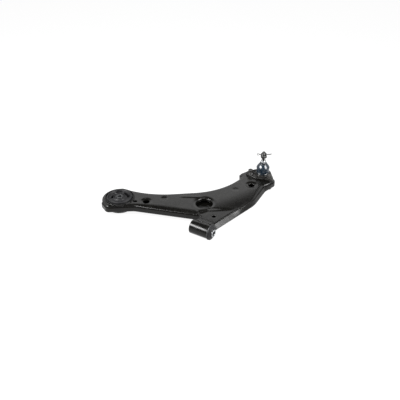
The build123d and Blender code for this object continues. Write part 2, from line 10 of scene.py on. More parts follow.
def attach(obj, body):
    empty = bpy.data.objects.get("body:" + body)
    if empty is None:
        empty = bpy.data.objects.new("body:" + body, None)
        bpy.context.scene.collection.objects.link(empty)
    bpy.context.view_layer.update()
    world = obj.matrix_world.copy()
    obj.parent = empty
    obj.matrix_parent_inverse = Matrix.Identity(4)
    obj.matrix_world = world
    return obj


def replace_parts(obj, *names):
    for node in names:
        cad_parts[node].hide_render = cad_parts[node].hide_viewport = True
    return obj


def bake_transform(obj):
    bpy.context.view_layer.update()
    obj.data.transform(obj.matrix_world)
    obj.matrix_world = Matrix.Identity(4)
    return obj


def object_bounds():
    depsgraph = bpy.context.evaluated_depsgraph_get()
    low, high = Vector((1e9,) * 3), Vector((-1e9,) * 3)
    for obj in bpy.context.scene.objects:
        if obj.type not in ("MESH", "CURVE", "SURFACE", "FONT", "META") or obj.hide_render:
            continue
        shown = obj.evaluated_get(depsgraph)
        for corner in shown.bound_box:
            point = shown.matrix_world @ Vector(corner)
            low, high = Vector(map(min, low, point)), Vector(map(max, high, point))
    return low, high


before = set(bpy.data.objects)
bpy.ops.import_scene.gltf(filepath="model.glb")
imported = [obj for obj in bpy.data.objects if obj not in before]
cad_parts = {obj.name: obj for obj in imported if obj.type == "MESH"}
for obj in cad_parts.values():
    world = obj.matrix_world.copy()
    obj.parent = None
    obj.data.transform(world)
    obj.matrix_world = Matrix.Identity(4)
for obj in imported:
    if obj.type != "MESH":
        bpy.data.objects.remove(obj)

cad_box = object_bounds()

# Lower control arm. Origin at the front bush bore, +X along it, +Y outboard,
# +Z up. Lengths are in millimetres, and new_object() turns them into metres.
MM = 0.001
SHEET = 3.0

# ---------------------------------------------------------------- places and sizes
# Plan outline: corner x, y and corner radius, clockwise from the rear tip.
ARM_CORNERS = [
    (-334, 48, 14), (-232, 58, 270), (-56, 190, 208), (-32, 296, 12),
    (-48, 314, 13), (-34, 346, 13), (0.5, 351.5, 8.5), (0.5, 324.5, 18),
    (45.5, 324.5, 18), (45.5, 352, 8.5), (64, 352, 12), (75, 334, 12),
    (63.5, 288, 40), (70, 200, 130), (31, 30, 20), (29, 8, 9), (-32, 8, 9),
    (-33, 45, 5), (-236, -20, 40), (-305, -69, 14), (-339, -51, 14),
]
REAR = (-300.0, -5.0, 0.0)
RING_R = 45.4
LOBE_R = 55.0
LOBE_END_X = -322.0
LOBE_LOW = 6.9
TUBE_R = 21.5
TUBE_BACK, TUBE_FRONT = -36.5, 24.5
FLANGE_R = 23.4
BALL = (23.0, 347.0, 0.0)
BALL_Z = 6.0
BOLTS = [(-12.0, 328.0, 0.0), (57.0, 329.0, 0.0)]
TOP_Z = 14.0
SKIRT_Z = -3.0
BOTTOM_Z = -9.0
SEAM_Z = 6.5
SEAM_GAP = 0.2
PLATE_TOP = 24.0
PIN_ANGLE = math.radians(31)
ROUND_STEPS = 8          # quads across each rounded edge

# Lines across the top of the arm, each from one plan point to another.
CREST = ((-43, 69), (35, 234))
SHELF_LINE = ((-33, 84), (50, 136))
SHELF_BACK = ((-60, 28), (-33, 84))
RIDGE = ((-135, 99), (-78, 130))
CREST_SLOPE = 0.147
CREST_START = -18.0
CREST_EASE = 44.0
SHELF_Z = 8.0

# Holes and dimples: middle x, y, half length and angle of the slot, then rings
# from the outside in: radius, drop below the top, and 1 where the ring is flat.
LIPPED_HOLE = ((-58, 106, 0, 0), [
    (36, 0, 0), (34, -0.2, 0), (31, -0.8, 0), (28.5, -1.7, 0), (27, -2.6, 0), (26, -3.8, 0),
    (25.6, -5.2, 0), (25.5, -7, 0), (25.5, -10.5, 0)])
REAR_HOLE = ((-217, 21, 0, 0), [
    (18.5, 0, 0), (17, -0.2, 0.3), (15.4, -1.2, 1), (14.2, -1.75, 1), (12, -1.85, 1), (11, -2.2, 1),
    (10.55, -3, 1), (10.5, -6, 1)])
OUTER_HOLE = ((20, 273, 0, 0), [
    (21, 0, 0), (19.4, -0.2, 0.3), (17.2, -1.3, 1), (15.8, -1.9, 1), (11.6, -2, 1), (10.6, -2.35, 1),
    (10.05, -3.1, 1), (10, -6, 1)])
SHELF_HOLE = ((0, 65, 0, 0), [
    (7.6, 0, 0), (6.6, -0.12, 0), (6.1, -0.6, 0), (6, -1.5, 0), (6, -3.5, 0)])
SLOT = ((-245.5, 1.5, 2, math.radians(30)), [
    (5.6, 0, 0), (4.9, -0.12, 0), (4.6, -0.6, 0), (4.5, -1.5, 0), (4.5, -4, 0)])
REAR_DIMPLE = ((-178, 63, 0, 0), [
    (11, 0, 0), (9.4, -0.3, 0.5), (7.4, -1.5, 1), (5.6, -1.9, 1), (0, -1.9, 1)])
OUTER_DIMPLE = ((-11, 222, 0, 0), [
    (12, 0, 0), (10.4, -0.1, 0.5), (8.2, -0.5, 1), (6.4, -0.7, 1), (0, -0.7, 1)])
TOP_FEATURES = [LIPPED_HOLE, REAR_HOLE, OUTER_HOLE, SHELF_HOLE, SLOT, REAR_DIMPLE, OUTER_DIMPLE]
DRAIN_RINGS = [(1.5, 0, 0), (1.25, -0.15, 0), (1.05, -0.7, 0), (1, -1.6, 0), (1, -4, 0)]
DRAIN_HOLES = [(-120, 70, 6), (10, 150, 6), (40, 230, 6)]


# ---------------------------------------------------------------- small helpers
def smooth(x, low, high):
    """0 below low, 1 above high, with a soft S between them."""
    t = np.clip((np.asarray(x, float) - low) / (high - low), 0.0, 1.0)
    return t * t * (3 - 2 * t)


def right_of(line, x, y):
    """Signed distance to the right of a line, looking along it."""
    (ax, ay), (bx, by) = line
    return ((x - ax) * (by - ay) - (y - ay) * (bx - ax)) / math.hypot(bx - ax, by - ay)


def along(line, x, y):
    """Distance along a line from its first point."""
    (ax, ay), (bx, by) = line
    return ((x - ax) * (bx - ax) + (y - ay) * (by - ay)) / math.hypot(bx - ax, by - ay)


def shade(piece, sharp=35):
    """Smooth shading with an edge kept where faces turn by more than sharp degrees."""
    piece.data.shade_smooth()
    piece.data.set_sharp_from_angle(angle=math.radians(sharp))


def new_object(name, verts, faces, material, body, sharp=35):
    """A mesh object from millimetre points, with its material and body."""
    mesh = bpy.data.meshes.new(name)
    mesh.from_pydata([(x * MM, y * MM, z * MM) for x, y, z in verts], [], faces)
    mesh.validate()
    tidy = bmesh.new()
    tidy.from_mesh(mesh)
    bmesh.ops.recalc_face_normals(tidy, faces=tidy.faces)
    tidy.to_mesh(mesh)
    tidy.free()
    mesh.materials.append(material)
    piece = bpy.data.objects.new(name, mesh)
    bpy.context.scene.collection.objects.link(piece)
    shade(piece, sharp)
    if body:
        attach(piece, body)
    return piece


def apply_modifiers(piece, sharp=35):
    """Replaces the piece's mesh with the result of its modifiers."""
    graph = bpy.context.evaluated_depsgraph_get()
    result = bpy.data.meshes.new_from_object(piece.evaluated_get(graph))
    piece.modifiers.clear()
    piece.data = result
    shade(piece, sharp)


def carve(piece, cutters, sharp=35):
    """Cuts the cutters out of a piece, then removes them."""
    for cutter in cutters:
        step = piece.modifiers.new("cut", "BOOLEAN")
        step.object = cutter
        step.operation = "DIFFERENCE"
        step.solver = "MANIFOLD"
    bpy.context.view_layer.update()
    apply_modifiers(piece, sharp)
    for cutter in cutters:
        bpy.data.objects.remove(cutter)


def turned(profile, centre, axis="Z", count=96, closed=True):
    """Points and faces of a (radius, height) profile turned about an axis. The
    profile may be a function of the angle that returns such a list. Its two ends
    are joined if it is closed, and otherwise each end gets a flat cap."""
    verts, faces = [], []
    for i in range(count):
        angle = 2 * math.pi * i / count
        c, s = math.cos(angle), math.sin(angle)
        points = profile(angle) if callable(profile) else profile
        rows = len(points)
        for r, h in points:
            if axis == "Z":
                verts.append((centre[0] + r * c, centre[1] + r * s, centre[2] + h))
            else:
                verts.append((centre[0] + h, centre[1] + r * c, centre[2] + r * s))
    for i in range(count):
        j = (i + 1) % count
        for k in range(rows if closed else rows - 1):
            m = (k + 1) % rows
            faces.append((i * rows + k, j * rows + k, j * rows + m, i * rows + m))
    if not closed:
        faces.append([i * rows for i in range(count)])
        faces.append([i * rows + rows - 1 for i in range(count)])
    return verts, faces


def rounded_loop(corners, step, fill=True):
    """Points along a closed outline with rounded corners, and their normals to
    the right. Straight runs get points every step if fill is true."""
    points, normals = [], []
    count = len(corners)
    xy = [np.array(c[:2], float) for c in corners]
    ends = []
    for i in range(count):
        a, b, c = xy[i - 1], xy[i], xy[(i + 1) % count]
        u = (b - a) / np.linalg.norm(b - a)
        v = (c - b) / np.linalg.norm(c - b)
        turn = math.atan2(u[0] * v[1] - u[1] * v[0], u @ v)
        reach = corners[i][2] * abs(math.tan(turn / 2))
        ends.append((b - u * reach, b + v * reach, u, turn, corners[i][2]))
    for i in range(count):
        start, stop, u, turn, radius = ends[i]
        side = np.array([-u[1], u[0]]) * math.copysign(1, turn)
        centre = start + side * radius
        pieces = max(2, math.ceil(radius * abs(turn) / step)) if radius else 0
        for k in range(pieces + 1):
            angle = turn * k / max(pieces, 1)
            c, s = math.cos(angle), math.sin(angle)
            arm = start - centre
            points.append(centre + (arm[0] * c - arm[1] * s, arm[0] * s + arm[1] * c))
            ahead = (u[0] * c - u[1] * s, u[0] * s + u[1] * c)
            normals.append((ahead[1], -ahead[0]))
        following = ends[(i + 1) % count][0]
        run = np.linalg.norm(following - stop)
        for k in range(1, math.floor(run / step) if fill else 0):
            points.append(stop + (following - stop) * k / math.floor(run / step))
            normals.append(normals[-1])
    return np.array(points), np.array(normals)


def soft_profile(corners, step=0.5):
    """A closed (radius, height) outline with rounded corners, for turned()."""
    return [tuple(p) for p in rounded_loop(corners, step, fill=False)[0]]


def tube_along(points, radius, sides=12, closed=False):
    """Points and faces of a round wire along a path. The radius may vary."""
    path = np.array(points, float)
    count = len(path)
    radii = np.broadcast_to(radius, count)
    if closed:
        ahead = np.roll(path, -1, 0) - np.roll(path, 1, 0)
    else:
        ahead = np.gradient(path, axis=0)
    ahead /= np.linalg.norm(ahead, axis=1)[:, None]
    up = np.array([0.0, 0.0, 1.0])
    if abs(ahead[0] @ up) > 0.9:
        up = np.array([0.0, 1.0, 0.0])
    verts, faces = [], []
    side = np.cross(ahead[0], up)
    for k in range(count):
        side = side - ahead[k] * (side @ ahead[k])
        side /= np.linalg.norm(side)
        rise = np.cross(side, ahead[k])
        for i in range(sides):
            angle = 2 * math.pi * i / sides
            verts.append(path[k] + radii[k] * (math.cos(angle) * side + math.sin(angle) * rise))
    for k in range(count if closed else count - 1):
        m = (k + 1) % count
        for i in range(sides):
            j = (i + 1) % sides
            faces.append((k * sides + i, k * sides + j, m * sides + j, m * sides + i))
    if not closed:
        faces.append([i for i in range(sides)])
        faces.append([(count - 1) * sides + i for i in range(sides)])
    return verts, faces


# ---------------------------------------------------------------- materials
class Nodes:
    """Builds one material's node tree with short calls."""

    def __init__(self, name):
        self.material = bpy.data.materials.new(name)
        self.material.use_nodes = True
        self.tree = self.material.node_tree
        self.shader = self.tree.nodes["Principled BSDF"]
        self.place = self.tree.nodes.new("ShaderNodeTexCoord").outputs["Object"]

    def link(self, source, target):
        self.tree.links.new(source, target)

    def noise(self, scale, detail=3.0, stretch=None):
        """Noise over the object's own coordinates, in features per metre."""
        node = self.tree.nodes.new("ShaderNodeTexNoise")
        node.inputs["Scale"].default_value = scale
        node.inputs["Detail"].default_value = detail
        place = self.place
        if stretch:
            mapping = self.tree.nodes.new("ShaderNodeMapping")
            mapping.inputs["Scale"].default_value = stretch
            self.link(place, mapping.inputs["Vector"])
            place = mapping.outputs["Vector"]
        self.link(place, node.inputs["Vector"])
        return node.outputs["Fac"]

    def spread(self, value, low, high, to_low=0.0, to_high=1.0):
        """A value from low to high, mapped to to_low to to_high."""
        node = self.tree.nodes.new("ShaderNodeMapRange")
        self.link(value, node.inputs["Value"])
        for socket, number in zip(("From Min", "From Max", "To Min", "To Max"), (low, high, to_low, to_high)):
            node.inputs[socket].default_value = number
        return node.outputs["Result"]

    def maths(self, operation, a, b):
        node = self.tree.nodes.new("ShaderNodeMath")
        node.operation = operation
        for socket, value in zip(node.inputs, (a, b)):
            if isinstance(value, (int, float)):
                socket.default_value = value
            else:
                self.link(value, socket)
        return node.outputs["Value"]

    def colours(self, factor, first, second):
        node = self.tree.nodes.new("ShaderNodeMix")
        node.data_type = "RGBA"
        node.inputs["A"].default_value = (*first, 1) if isinstance(first, tuple) else (0, 0, 0, 1)
        if not isinstance(first, tuple):
            self.link(first, node.inputs["A"])
        node.inputs["B"].default_value = (*second, 1)
        self.link(factor, node.inputs["Factor"])
        return node.outputs["Result"]

    def bump(self, height, distance, strength=1.0, under=None):
        """A bump of the given depth in metres, over another bump if there is one."""
        node = self.tree.nodes.new("ShaderNodeBump")
        node.inputs["Distance"].default_value = distance
        node.inputs["Strength"].default_value = strength
        self.link(height, node.inputs["Height"])
        if under is not None:
            self.link(under, node.inputs["Normal"])
        return node.outputs["Normal"]

    def edges(self, low, high):
        """1 on worn outer edges, 0 on flat faces, broken up by noise."""
        geometry = self.tree.nodes.new("ShaderNodeNewGeometry")
        edge = self.spread(geometry.outputs["Pointiness"], low, high)
        return self.maths("MULTIPLY", edge, self.spread(self.noise(420, 4), 0.42, 0.62))

    def upward(self):
        """1 where the surface faces up, 0 where it faces sideways or down."""
        geometry = self.tree.nodes.new("ShaderNodeNewGeometry")
        split = self.tree.nodes.new("ShaderNodeSeparateXYZ")
        self.link(geometry.outputs["Normal"], split.inputs["Vector"])
        return self.spread(split.outputs["Z"], 0.2, 0.95)

    def set(self, **values):
        for name, value in values.items():
            self.shader.inputs[name.replace("_", " ")].default_value = value


def black_paint():
    """Satin black dip paint on pressed sheet: orange peel, faint runs, dust, worn edges."""
    n = Nodes("black_paint")
    cloud = n.spread(n.noise(38, 4), 0.3, 0.7)
    colour = n.colours(cloud, (0.0013, 0.0012, 0.001), (0.0032, 0.003, 0.0025))
    dust = n.maths("MULTIPLY", n.spread(n.noise(900, 2), 0.58, 0.76), n.upward())
    colour = n.colours(n.maths("MULTIPLY", dust, 0.3), colour, (0.018, 0.0175, 0.016))
    colour = n.colours(n.maths("MULTIPLY", n.edges(0.54, 0.64), 0.35), colour, (0.025, 0.024, 0.022))
    n.link(colour, n.shader.inputs["Base Color"])
    n.link(n.spread(n.noise(95, 5), 0.25, 0.75, 0.2, 0.3), n.shader.inputs["Roughness"])
    wave = n.bump(n.noise(22, 2), 0.0006, 0.3)
    peel = n.bump(n.noise(420, 2), 0.00002, 0.4, under=wave)
    n.link(n.bump(n.noise(1900, 2), 0.00001, 0.5, under=peel), n.shader.inputs["Normal"])
    n.set(IOR=1.36)
    return n.material


def forged_paint():
    """Black paint over a forging's scale: rougher and browner than the sheet."""
    n = Nodes("forged_paint")
    cloud = n.spread(n.noise(90, 5), 0.3, 0.7)
    colour = n.colours(cloud, (0.0018, 0.0017, 0.0015), (0.0055, 0.0049, 0.0041))
    colour = n.colours(n.maths("MULTIPLY", n.edges(0.53, 0.6), 0.7), colour, (0.035, 0.033, 0.03))
    n.link(colour, n.shader.inputs["Base Color"])
    n.link(n.spread(n.noise(160, 5), 0.25, 0.75, 0.26, 0.42), n.shader.inputs["Roughness"])
    scale = n.bump(n.noise(150, 4), 0.0004, 0.4)
    n.link(n.bump(n.noise(1300, 3), 0.00012, 0.6, under=scale), n.shader.inputs["Normal"])
    n.set(IOR=1.36)
    return n.material


def phosphate_steel():
    """Dark grey phosphated sleeve steel with fine draw lines."""
    n = Nodes("phosphate_steel")
    cloud = n.spread(n.noise(240, 5), 0.3, 0.7)
    n.link(n.colours(cloud, (0.022, 0.023, 0.024), (0.05, 0.051, 0.053)), n.shader.inputs["Base Color"])
    n.link(n.spread(n.noise(300, 4), 0.3, 0.7, 0.32, 0.5), n.shader.inputs["Roughness"])
    n.link(n.bump(n.noise(1500, 3), 0.00006, 0.7), n.shader.inputs["Normal"])
    n.set(Metallic=0.35)
    return n.material


def bush_rubber():
    """Moulded natural rubber: dull black with a fine bloom."""
    n = Nodes("bush_rubber")
    bloom = n.spread(n.noise(160, 5), 0.35, 0.7)
    n.link(n.colours(bloom, (0.005, 0.005, 0.0055), (0.012, 0.012, 0.013)), n.shader.inputs["Base Color"])
    n.link(n.spread(n.noise(260, 4), 0.3, 0.7, 0.38, 0.54), n.shader.inputs["Roughness"])
    soft = n.bump(n.noise(210, 3), 0.0003, 0.5)
    n.link(n.bump(n.noise(2400, 2), 0.00004, 0.8, under=soft), n.shader.inputs["Normal"])
    n.set(IOR=1.3)
    return n.material


def boot_rubber():
    """Glossy blue-black boot rubber with faint mould ripples."""
    n = Nodes("boot_rubber")
    tint = n.spread(n.noise(120, 4), 0.3, 0.7)
    n.link(n.colours(tint, (0.004, 0.009, 0.015), (0.008, 0.016, 0.026)), n.shader.inputs["Base Color"])
    n.link(n.spread(n.noise(200, 4), 0.3, 0.7, 0.16, 0.3), n.shader.inputs["Roughness"])
    ripple = n.bump(n.noise(60, 3), 0.0008, 0.4)
    n.link(n.bump(n.noise(1500, 2), 0.00003, 0.8, under=ripple), n.shader.inputs["Normal"])
    n.set(Coat_Weight=0.15, Coat_Roughness=0.12)
    return n.material


def steel(name, low, high, rough_low, rough_high, stretch):
    """Bare or plated steel: fine lines along the way it was cut, and cloudy gloss."""
    n = Nodes(name)
    cloud = n.spread(n.noise(350, 5), 0.3, 0.7)
    n.link(n.colours(cloud, low, high), n.shader.inputs["Base Color"])
    lines = n.noise(700, 4, stretch=stretch)
    n.link(n.spread(lines, 0.3, 0.7, rough_low, rough_high), n.shader.inputs["Roughness"])
    n.link(n.bump(lines, 0.00006, 0.5), n.shader.inputs["Normal"])
    n.set(Metallic=1.0)
    return n.material


def black_fastener():
    """Black oxide on forged bolts and nuts."""
    n = Nodes("black_fastener")
    cloud = n.spread(n.noise(300, 5), 0.3, 0.7)
    colour = n.colours(cloud, (0.015, 0.015, 0.015), (0.04, 0.038, 0.036))
    colour = n.colours(n.edges(0.52, 0.58), colour, (0.11, 0.105, 0.1))
    n.link(colour, n.shader.inputs["Base Color"])
    n.link(n.spread(n.noise(420, 4), 0.3, 0.7, 0.3, 0.48), n.shader.inputs["Roughness"])
    n.link(n.bump(n.noise(900, 4), 0.00012, 0.6), n.shader.inputs["Normal"])
    n.set(Metallic=0.4)
    return n.material


def seat_plastic():
    """Off-white acetal."""
    n = Nodes("seat_plastic")
    n.link(n.colours(n.noise(400, 3), (0.62, 0.6, 0.54), (0.72, 0.7, 0.64)), n.shader.inputs["Base Color"])
    n.link(n.spread(n.noise(500, 3), 0.3, 0.7, 0.3, 0.42), n.shader.inputs["Roughness"])
    n.link(n.bump(n.noise(1200, 2), 0.00003, 0.6), n.shader.inputs["Normal"])
    return n.material


PAINT = black_paint()
FORGED = forged_paint()
PHOSPHATE = phosphate_steel()
RUBBER = bush_rubber()
BOOT = boot_rubber()
BRIGHT = steel("bright_steel", (0.3, 0.31, 0.32), (0.42, 0.43, 0.44), 0.16, 0.3, (1, 1, 14))
ZINC = steel("zinc_steel", (0.055, 0.055, 0.055), (0.11, 0.11, 0.107), 0.2, 0.36, (1, 1, 1))
OXIDE = black_fastener()
SEAT = seat_plastic()


# ---------------------------------------------------------------- pressed shapes
def ease_in(distance, width):
    """Zero before 0, then bends into a straight slope of 1 over the width."""
    d = np.maximum(distance, 0)
    return np.where(d < width, d * d / (2 * width), d - width / 2)


def top_height(x, y):
    """Height of the upper pressing's face, away from its rounded edge."""
    x, y = np.asarray(x, float), np.asarray(y, float)
    fall = CREST_SLOPE * ease_in(right_of(CREST, x, y) - CREST_START, CREST_EASE) * (1 - smooth(y, 250, 300))
    z = TOP_Z - np.minimum(fall, TOP_Z - SHELF_Z) * smooth(x, -95, -45)
    into_shelf = smooth(np.minimum(right_of(SHELF_LINE, x, y), right_of(SHELF_BACK, x, y)), -5, 6)
    z = z + (SHELF_Z - z) * into_shelf
    span = along(RIDGE, x, y)
    ridge = np.exp(-(right_of(RIDGE, x, y) / 3.2) ** 2) * smooth(span, -12, 8) * (1 - smooth(span, 52, 72))
    gusset = np.exp(-((x + 51) / 11) ** 2 - ((y - 50) / 4.5) ** 2)
    return z + 1.3 * ridge + 2.4 * gusset


def edge_form(points, normals):
    """At each outline point: how far the seam lies inside the bottom edge, and
    the width and depth of the upper pressing's rounded edge."""
    x, y = points.T
    leading = smooth(-normals[:, 0], 0.7, 0.95) * smooth(y, 17, 21) * (1 - smooth(y, 285, 315))
    near = smooth(normals[:, 1], 0.75, 0.95) * (1 - smooth(x, -60, -38)) * smooth(x, -300, -262)
    lean = leading * (5.5 + 4.8 * (1 - smooth(y, 100, 170)))
    seam = points + normals * (lean + SHEET + SEAM_GAP)[:, None]
    width = 8 + near * 13 * smooth(x, -262, -150) + leading * 3
    at_bracket = (1 - smooth(y, 16, 22)) * smooth(x, -60, -40)
    width = width - (width - 5) * np.maximum(smooth(y, 312, 322), at_bracket)
    level = top_height(*(seam + normals * width[:, None]).T)
    width = 3 + (width - 3) * smooth(level, 8.5, 12)
    return lean, width


def inside(points, loop):
    """True for the plan points within a closed outline."""
    x, y = points[:, 0][:, None], points[:, 1][:, None]
    ax, ay = loop.T
    bx, by = np.roll(loop, -1, 0).T
    crosses = (ay > y) != (by > y)
    with np.errstate(divide="ignore", invalid="ignore"):
        cut = ax + (y - ay) * (bx - ax) / (by - ay)
    return (crosses & (x < cut)).sum(1) % 2 == 1


def nearest(points, loop):
    """For each plan point, the distance to and the index of the nearest outline point."""
    gap = np.linalg.norm(points[:, None, :] - loop[None, :, :], axis=2)
    return gap.min(1), gap.argmin(1)


def feature_ring(spot, radius, count=64):
    """Plan points of a circle or slot, radius out from its middle line."""
    x, y, half, angle = spot
    t = np.arange(count) * 2 * np.pi / count
    axis = np.array([math.cos(angle), math.sin(angle)])
    out = np.stack([np.cos(t), np.sin(t)], 1)
    return np.array([x, y]) + half * np.sign(out @ axis + 1e-9)[:, None] * axis + radius * out


class Sheet:
    """Collects the rows of one surface, then joins them where they meet."""

    def __init__(self):
        self.verts, self.faces = [], []

    def rows(self, rings):
        """Quads between closed rings of points, one after another."""
        first, count = len(self.verts), len(rings[0])
        for ring in rings:
            self.verts.extend(map(tuple, ring))
        for k in range(len(rings) - 1):
            for i in range(count):
                j = (i + 1) % count
                a, b = first + k * count, first + (k + 1) * count
                self.faces.append((a + i, a + j, b + j, b + i))

    def feature(self, feature, height):
        """The rings of a hole or a dimple in a face of the given height."""
        spot, steps = feature
        middle = float(height(np.array([spot[0]]), np.array([spot[1]]))[0])
        rings = []
        for radius, drop, flat in steps:
            plan = feature_ring(spot, radius)
            level = height(*plan.T) * (1 - flat) + middle * flat + drop
            rings.append(np.column_stack([plan, level]))
        self.rows(rings)

    def fill(self, loop, features, height, spacing):
        """Triangles from an outline in to the outer rings of its features."""
        rings = [feature_ring(spot, steps[0][0]) for spot, steps in features]
        points, edges = [], []
        for ring in [loop, *rings]:
            first = len(points)
            points.extend(ring)
            edges.extend((first + i, first + (i + 1) % len(ring)) for i in range(len(ring)))
        low, high = loop.min(0), loop.max(0)
        rise = spacing * math.sqrt(3) / 2
        lattice = []
        for j, y in enumerate(np.arange(low[1], high[1], rise)):
            xs = np.arange(low[0] + spacing / 2 * (j % 2), high[0], spacing)
            lattice.append(np.column_stack([xs, np.full(len(xs), y)]))
        lattice = np.concatenate(lattice)
        keep = inside(lattice, loop) & (nearest(lattice, loop)[0] > 0.6 * spacing)
        for ring in rings:
            keep &= ~inside(lattice, ring) & (nearest(lattice, ring)[0] > 0.6 * spacing)
        points.extend(lattice[keep])
        flat = [Vector((float(x), float(y))) for x, y in points]
        plan, _, triangles, _, _, _ = delaunay_2d_cdt(flat, edges, [], 1, 1e-6)
        plan = np.array([tuple(p) for p in plan])
        middles = np.array([plan[list(t)].mean(0) for t in triangles])
        holes = np.zeros(len(triangles), bool)
        for ring in rings:
            holes |= inside(middles, ring)
        first = len(self.verts)
        self.verts.extend(map(tuple, np.column_stack([plan, height(*plan.T)])))
        self.faces.extend(tuple(first + i for i in t) for t, hole in zip(triangles, holes) if not hole)

    def piece(self, name, material, slot, body, faces_up=True, thickness=0.0):
        """The joined surface as an object, thickened inwards if asked."""
        made = new_object(name, self.verts, self.faces, material, body)
        tidy = bmesh.new()
        tidy.from_mesh(made.data)
        bmesh.ops.remove_doubles(tidy, verts=tidy.verts, dist=0.004 * MM)
        bmesh.ops.dissolve_degenerate(tidy, edges=tidy.edges, dist=0.001 * MM)
        bmesh.ops.recalc_face_normals(tidy, faces=tidy.faces)
        facing = sum(f.normal.z * f.calc_area() for f in tidy.faces if abs(f.normal.z) > 0.9)
        if thickness and (facing > 0) != faces_up:
            bmesh.ops.reverse_faces(tidy, faces=tidy.faces)
        tidy.to_mesh(made.data)
        tidy.free()
        if thickness:
            walls = made.modifiers.new("sheet", "SOLIDIFY")
            walls.thickness = thickness * MM
            walls.offset = -1
            apply_modifiers(made)
        shade(made)
        return made


def upper_outline():
    """The upper pressing's wall line: inside the lower one, except for the round
    lobe that overhangs its rear end. Also the inward normals and the lobe's share."""
    seam = OUTLINE + INWARD * (LEAN + SHEET + SEAM_GAP)[:, None]
    arm = seam - np.array(REAR[:2])
    radius = np.linalg.norm(arm, axis=1)
    lobe = (seam[:, 0] < LOBE_END_X) & (radius < LOBE_R)
    out = arm / radius[:, None]
    seam = np.where(lobe[:, None], np.array(REAR[:2]) + out * LOBE_R, seam)
    return seam, np.where(lobe[:, None], -out, INWARD), lobe


OUTLINE, INWARD = rounded_loop(ARM_CORNERS, 2.5)
LEAN, ROUND_W = edge_form(OUTLINE, INWARD)
SEAM, SEAM_IN, ON_LOBE = upper_outline()


def cylinder(centre, radius, half, axis="Z", count=128):
    """A plain cutter for the round bush housings."""
    verts, faces = turned([(radius, -half), (radius, half)], centre, axis, count, closed=False)
    return new_object("cutter", verts, faces, PAINT, None)


def bush_cutters():
    """What the two bush housings and the front flange take out of the pressings."""
    room = 50
    return [cylinder(REAR, RING_R + 0.05, 60), cylinder((0, 0, 0), TUBE_R + 0.05, 60, "X"),
            cylinder((TUBE_FRONT - 1 + room, 0, 0), FLANGE_R + 1, room, "X")]


def upper_pressing():
    """Inverted tray with a crowned face, rounded edges, lipped holes and dimples."""
    sheet = Sheet()
    inner = SEAM + SEAM_IN * ROUND_W[:, None]
    level = top_height(*inner.T)
    depth = np.minimum(6.5, level - SEAM_Z - 0.7)
    rings = [np.column_stack([SEAM, np.where(ON_LOBE, LOBE_LOW, SKIRT_Z)])]
    for k in range(ROUND_STEPS + 1):
        turn = math.pi / 2 * k / ROUND_STEPS
        plan = SEAM + SEAM_IN * (ROUND_W * (1 - math.cos(turn)))[:, None]
        rings.append(np.column_stack([plan, level - depth * (1 - math.sin(turn))]))
    sheet.rows(rings)
    for feature in TOP_FEATURES:
        sheet.feature(feature, top_height)
    sheet.fill(inner, TOP_FEATURES, top_height, 4.0)
    made = sheet.piece("upper_pressing", PAINT, "black_paint", "arm", thickness=SHEET)
    carve(made, bush_cutters())
    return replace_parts(made, "upper_shell")


def bottom_height(x, y):
    """Height of the lower pressing's underside, with its shallow stiffening panel."""
    plan = np.column_stack([x, y])
    return BOTTOM_Z + 1.6 * smooth(nearest(plan, OUTLINE)[0], 13, 19)


def lower_pressing():
    """Tray whose wall stands up outside the upper pressing, with drain holes."""
    sheet = Sheet()
    foot = 4.0
    inner = OUTLINE + INWARD * foot
    rings = []
    for k in range(ROUND_STEPS + 1):
        turn = math.pi / 2 * k / ROUND_STEPS
        plan = OUTLINE + INWARD * foot * (1 - math.sin(turn))
        rings.append(np.column_stack([plan, np.full(len(plan), BOTTOM_Z + foot * (1 - math.cos(turn)))]))
    for k in range(1, 7):
        rise = k / 6
        plan = OUTLINE + INWARD * (LEAN * rise)[:, None]
        z = BOTTOM_Z + foot + (SEAM_Z - BOTTOM_Z - foot) * rise
        rings.append(np.column_stack([plan, np.full(len(plan), z)]))
    sheet.rows(rings)
    drains = [((x, y, 0, 0), [(r * k, -drop, flat) for k, drop, flat in DRAIN_RINGS])
              for x, y, r in DRAIN_HOLES]
    for drain in drains:
        sheet.feature(drain, bottom_height)
    sheet.fill(inner, drains, bottom_height, 5.0)
    made = sheet.piece("lower_pressing", PAINT, "black_paint", "arm", faces_up=False, thickness=SHEET)
    carve(made, bush_cutters())
    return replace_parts(made, "lower_shell")


def skin_height(x, y):
    """Height of the finished upper pressing, rounded edge included, and how far
    inside its wall each plan point lies."""
    plan = np.column_stack([x, y])
    _, near = nearest(plan, SEAM)
    inset = ((plan - SEAM[near]) * SEAM_IN[near]).sum(1)
    level = top_height(x, y)
    depth = np.minimum(6.5, level - SEAM_Z - 0.7)
    short = np.clip(1 - inset / ROUND_W[near], 0, 1)
    return level - depth * (1 - np.sqrt(1 - short**2)), inset


# ---------------------------------------------------------------- welds and bracket
def weld(name, path, radius=2.1, pitch=2.6, seed=1):
    """A painted weld bead: a half-buried round run with ripples and a wandering edge."""
    path = np.array(path, float)
    steps = np.linalg.norm(np.diff(path, axis=0), axis=1)
    travel = np.concatenate([[0], np.cumsum(steps)])
    count = max(8, int(travel[-1] / 0.75))
    even = np.linspace(0, travel[-1], count)
    path = np.column_stack([np.interp(even, travel, path[:, k]) for k in range(3)])
    rng = np.random.default_rng(seed)
    knots = np.linspace(0, travel[-1], max(4, int(travel[-1] / 9)))
    wander = np.interp(even, knots, rng.normal(0, 0.22, len(knots)))
    swell = 1 + np.interp(even, knots, rng.normal(0, 0.07, len(knots)))
    ripple = 1 + 0.08 * (np.abs(np.sin(np.pi * even / pitch)) - 0.6)
    ends = np.minimum(1, np.minimum(even, travel[-1] - even) / (2 * radius)) ** 0.5
    path[:, 2] += wander
    radii = radius * swell * ripple * np.maximum(ends, 0.15)
    verts, faces = tube_along(path, radii)
    return new_object(name, verts, faces, PAINT, "arm", sharp=60)


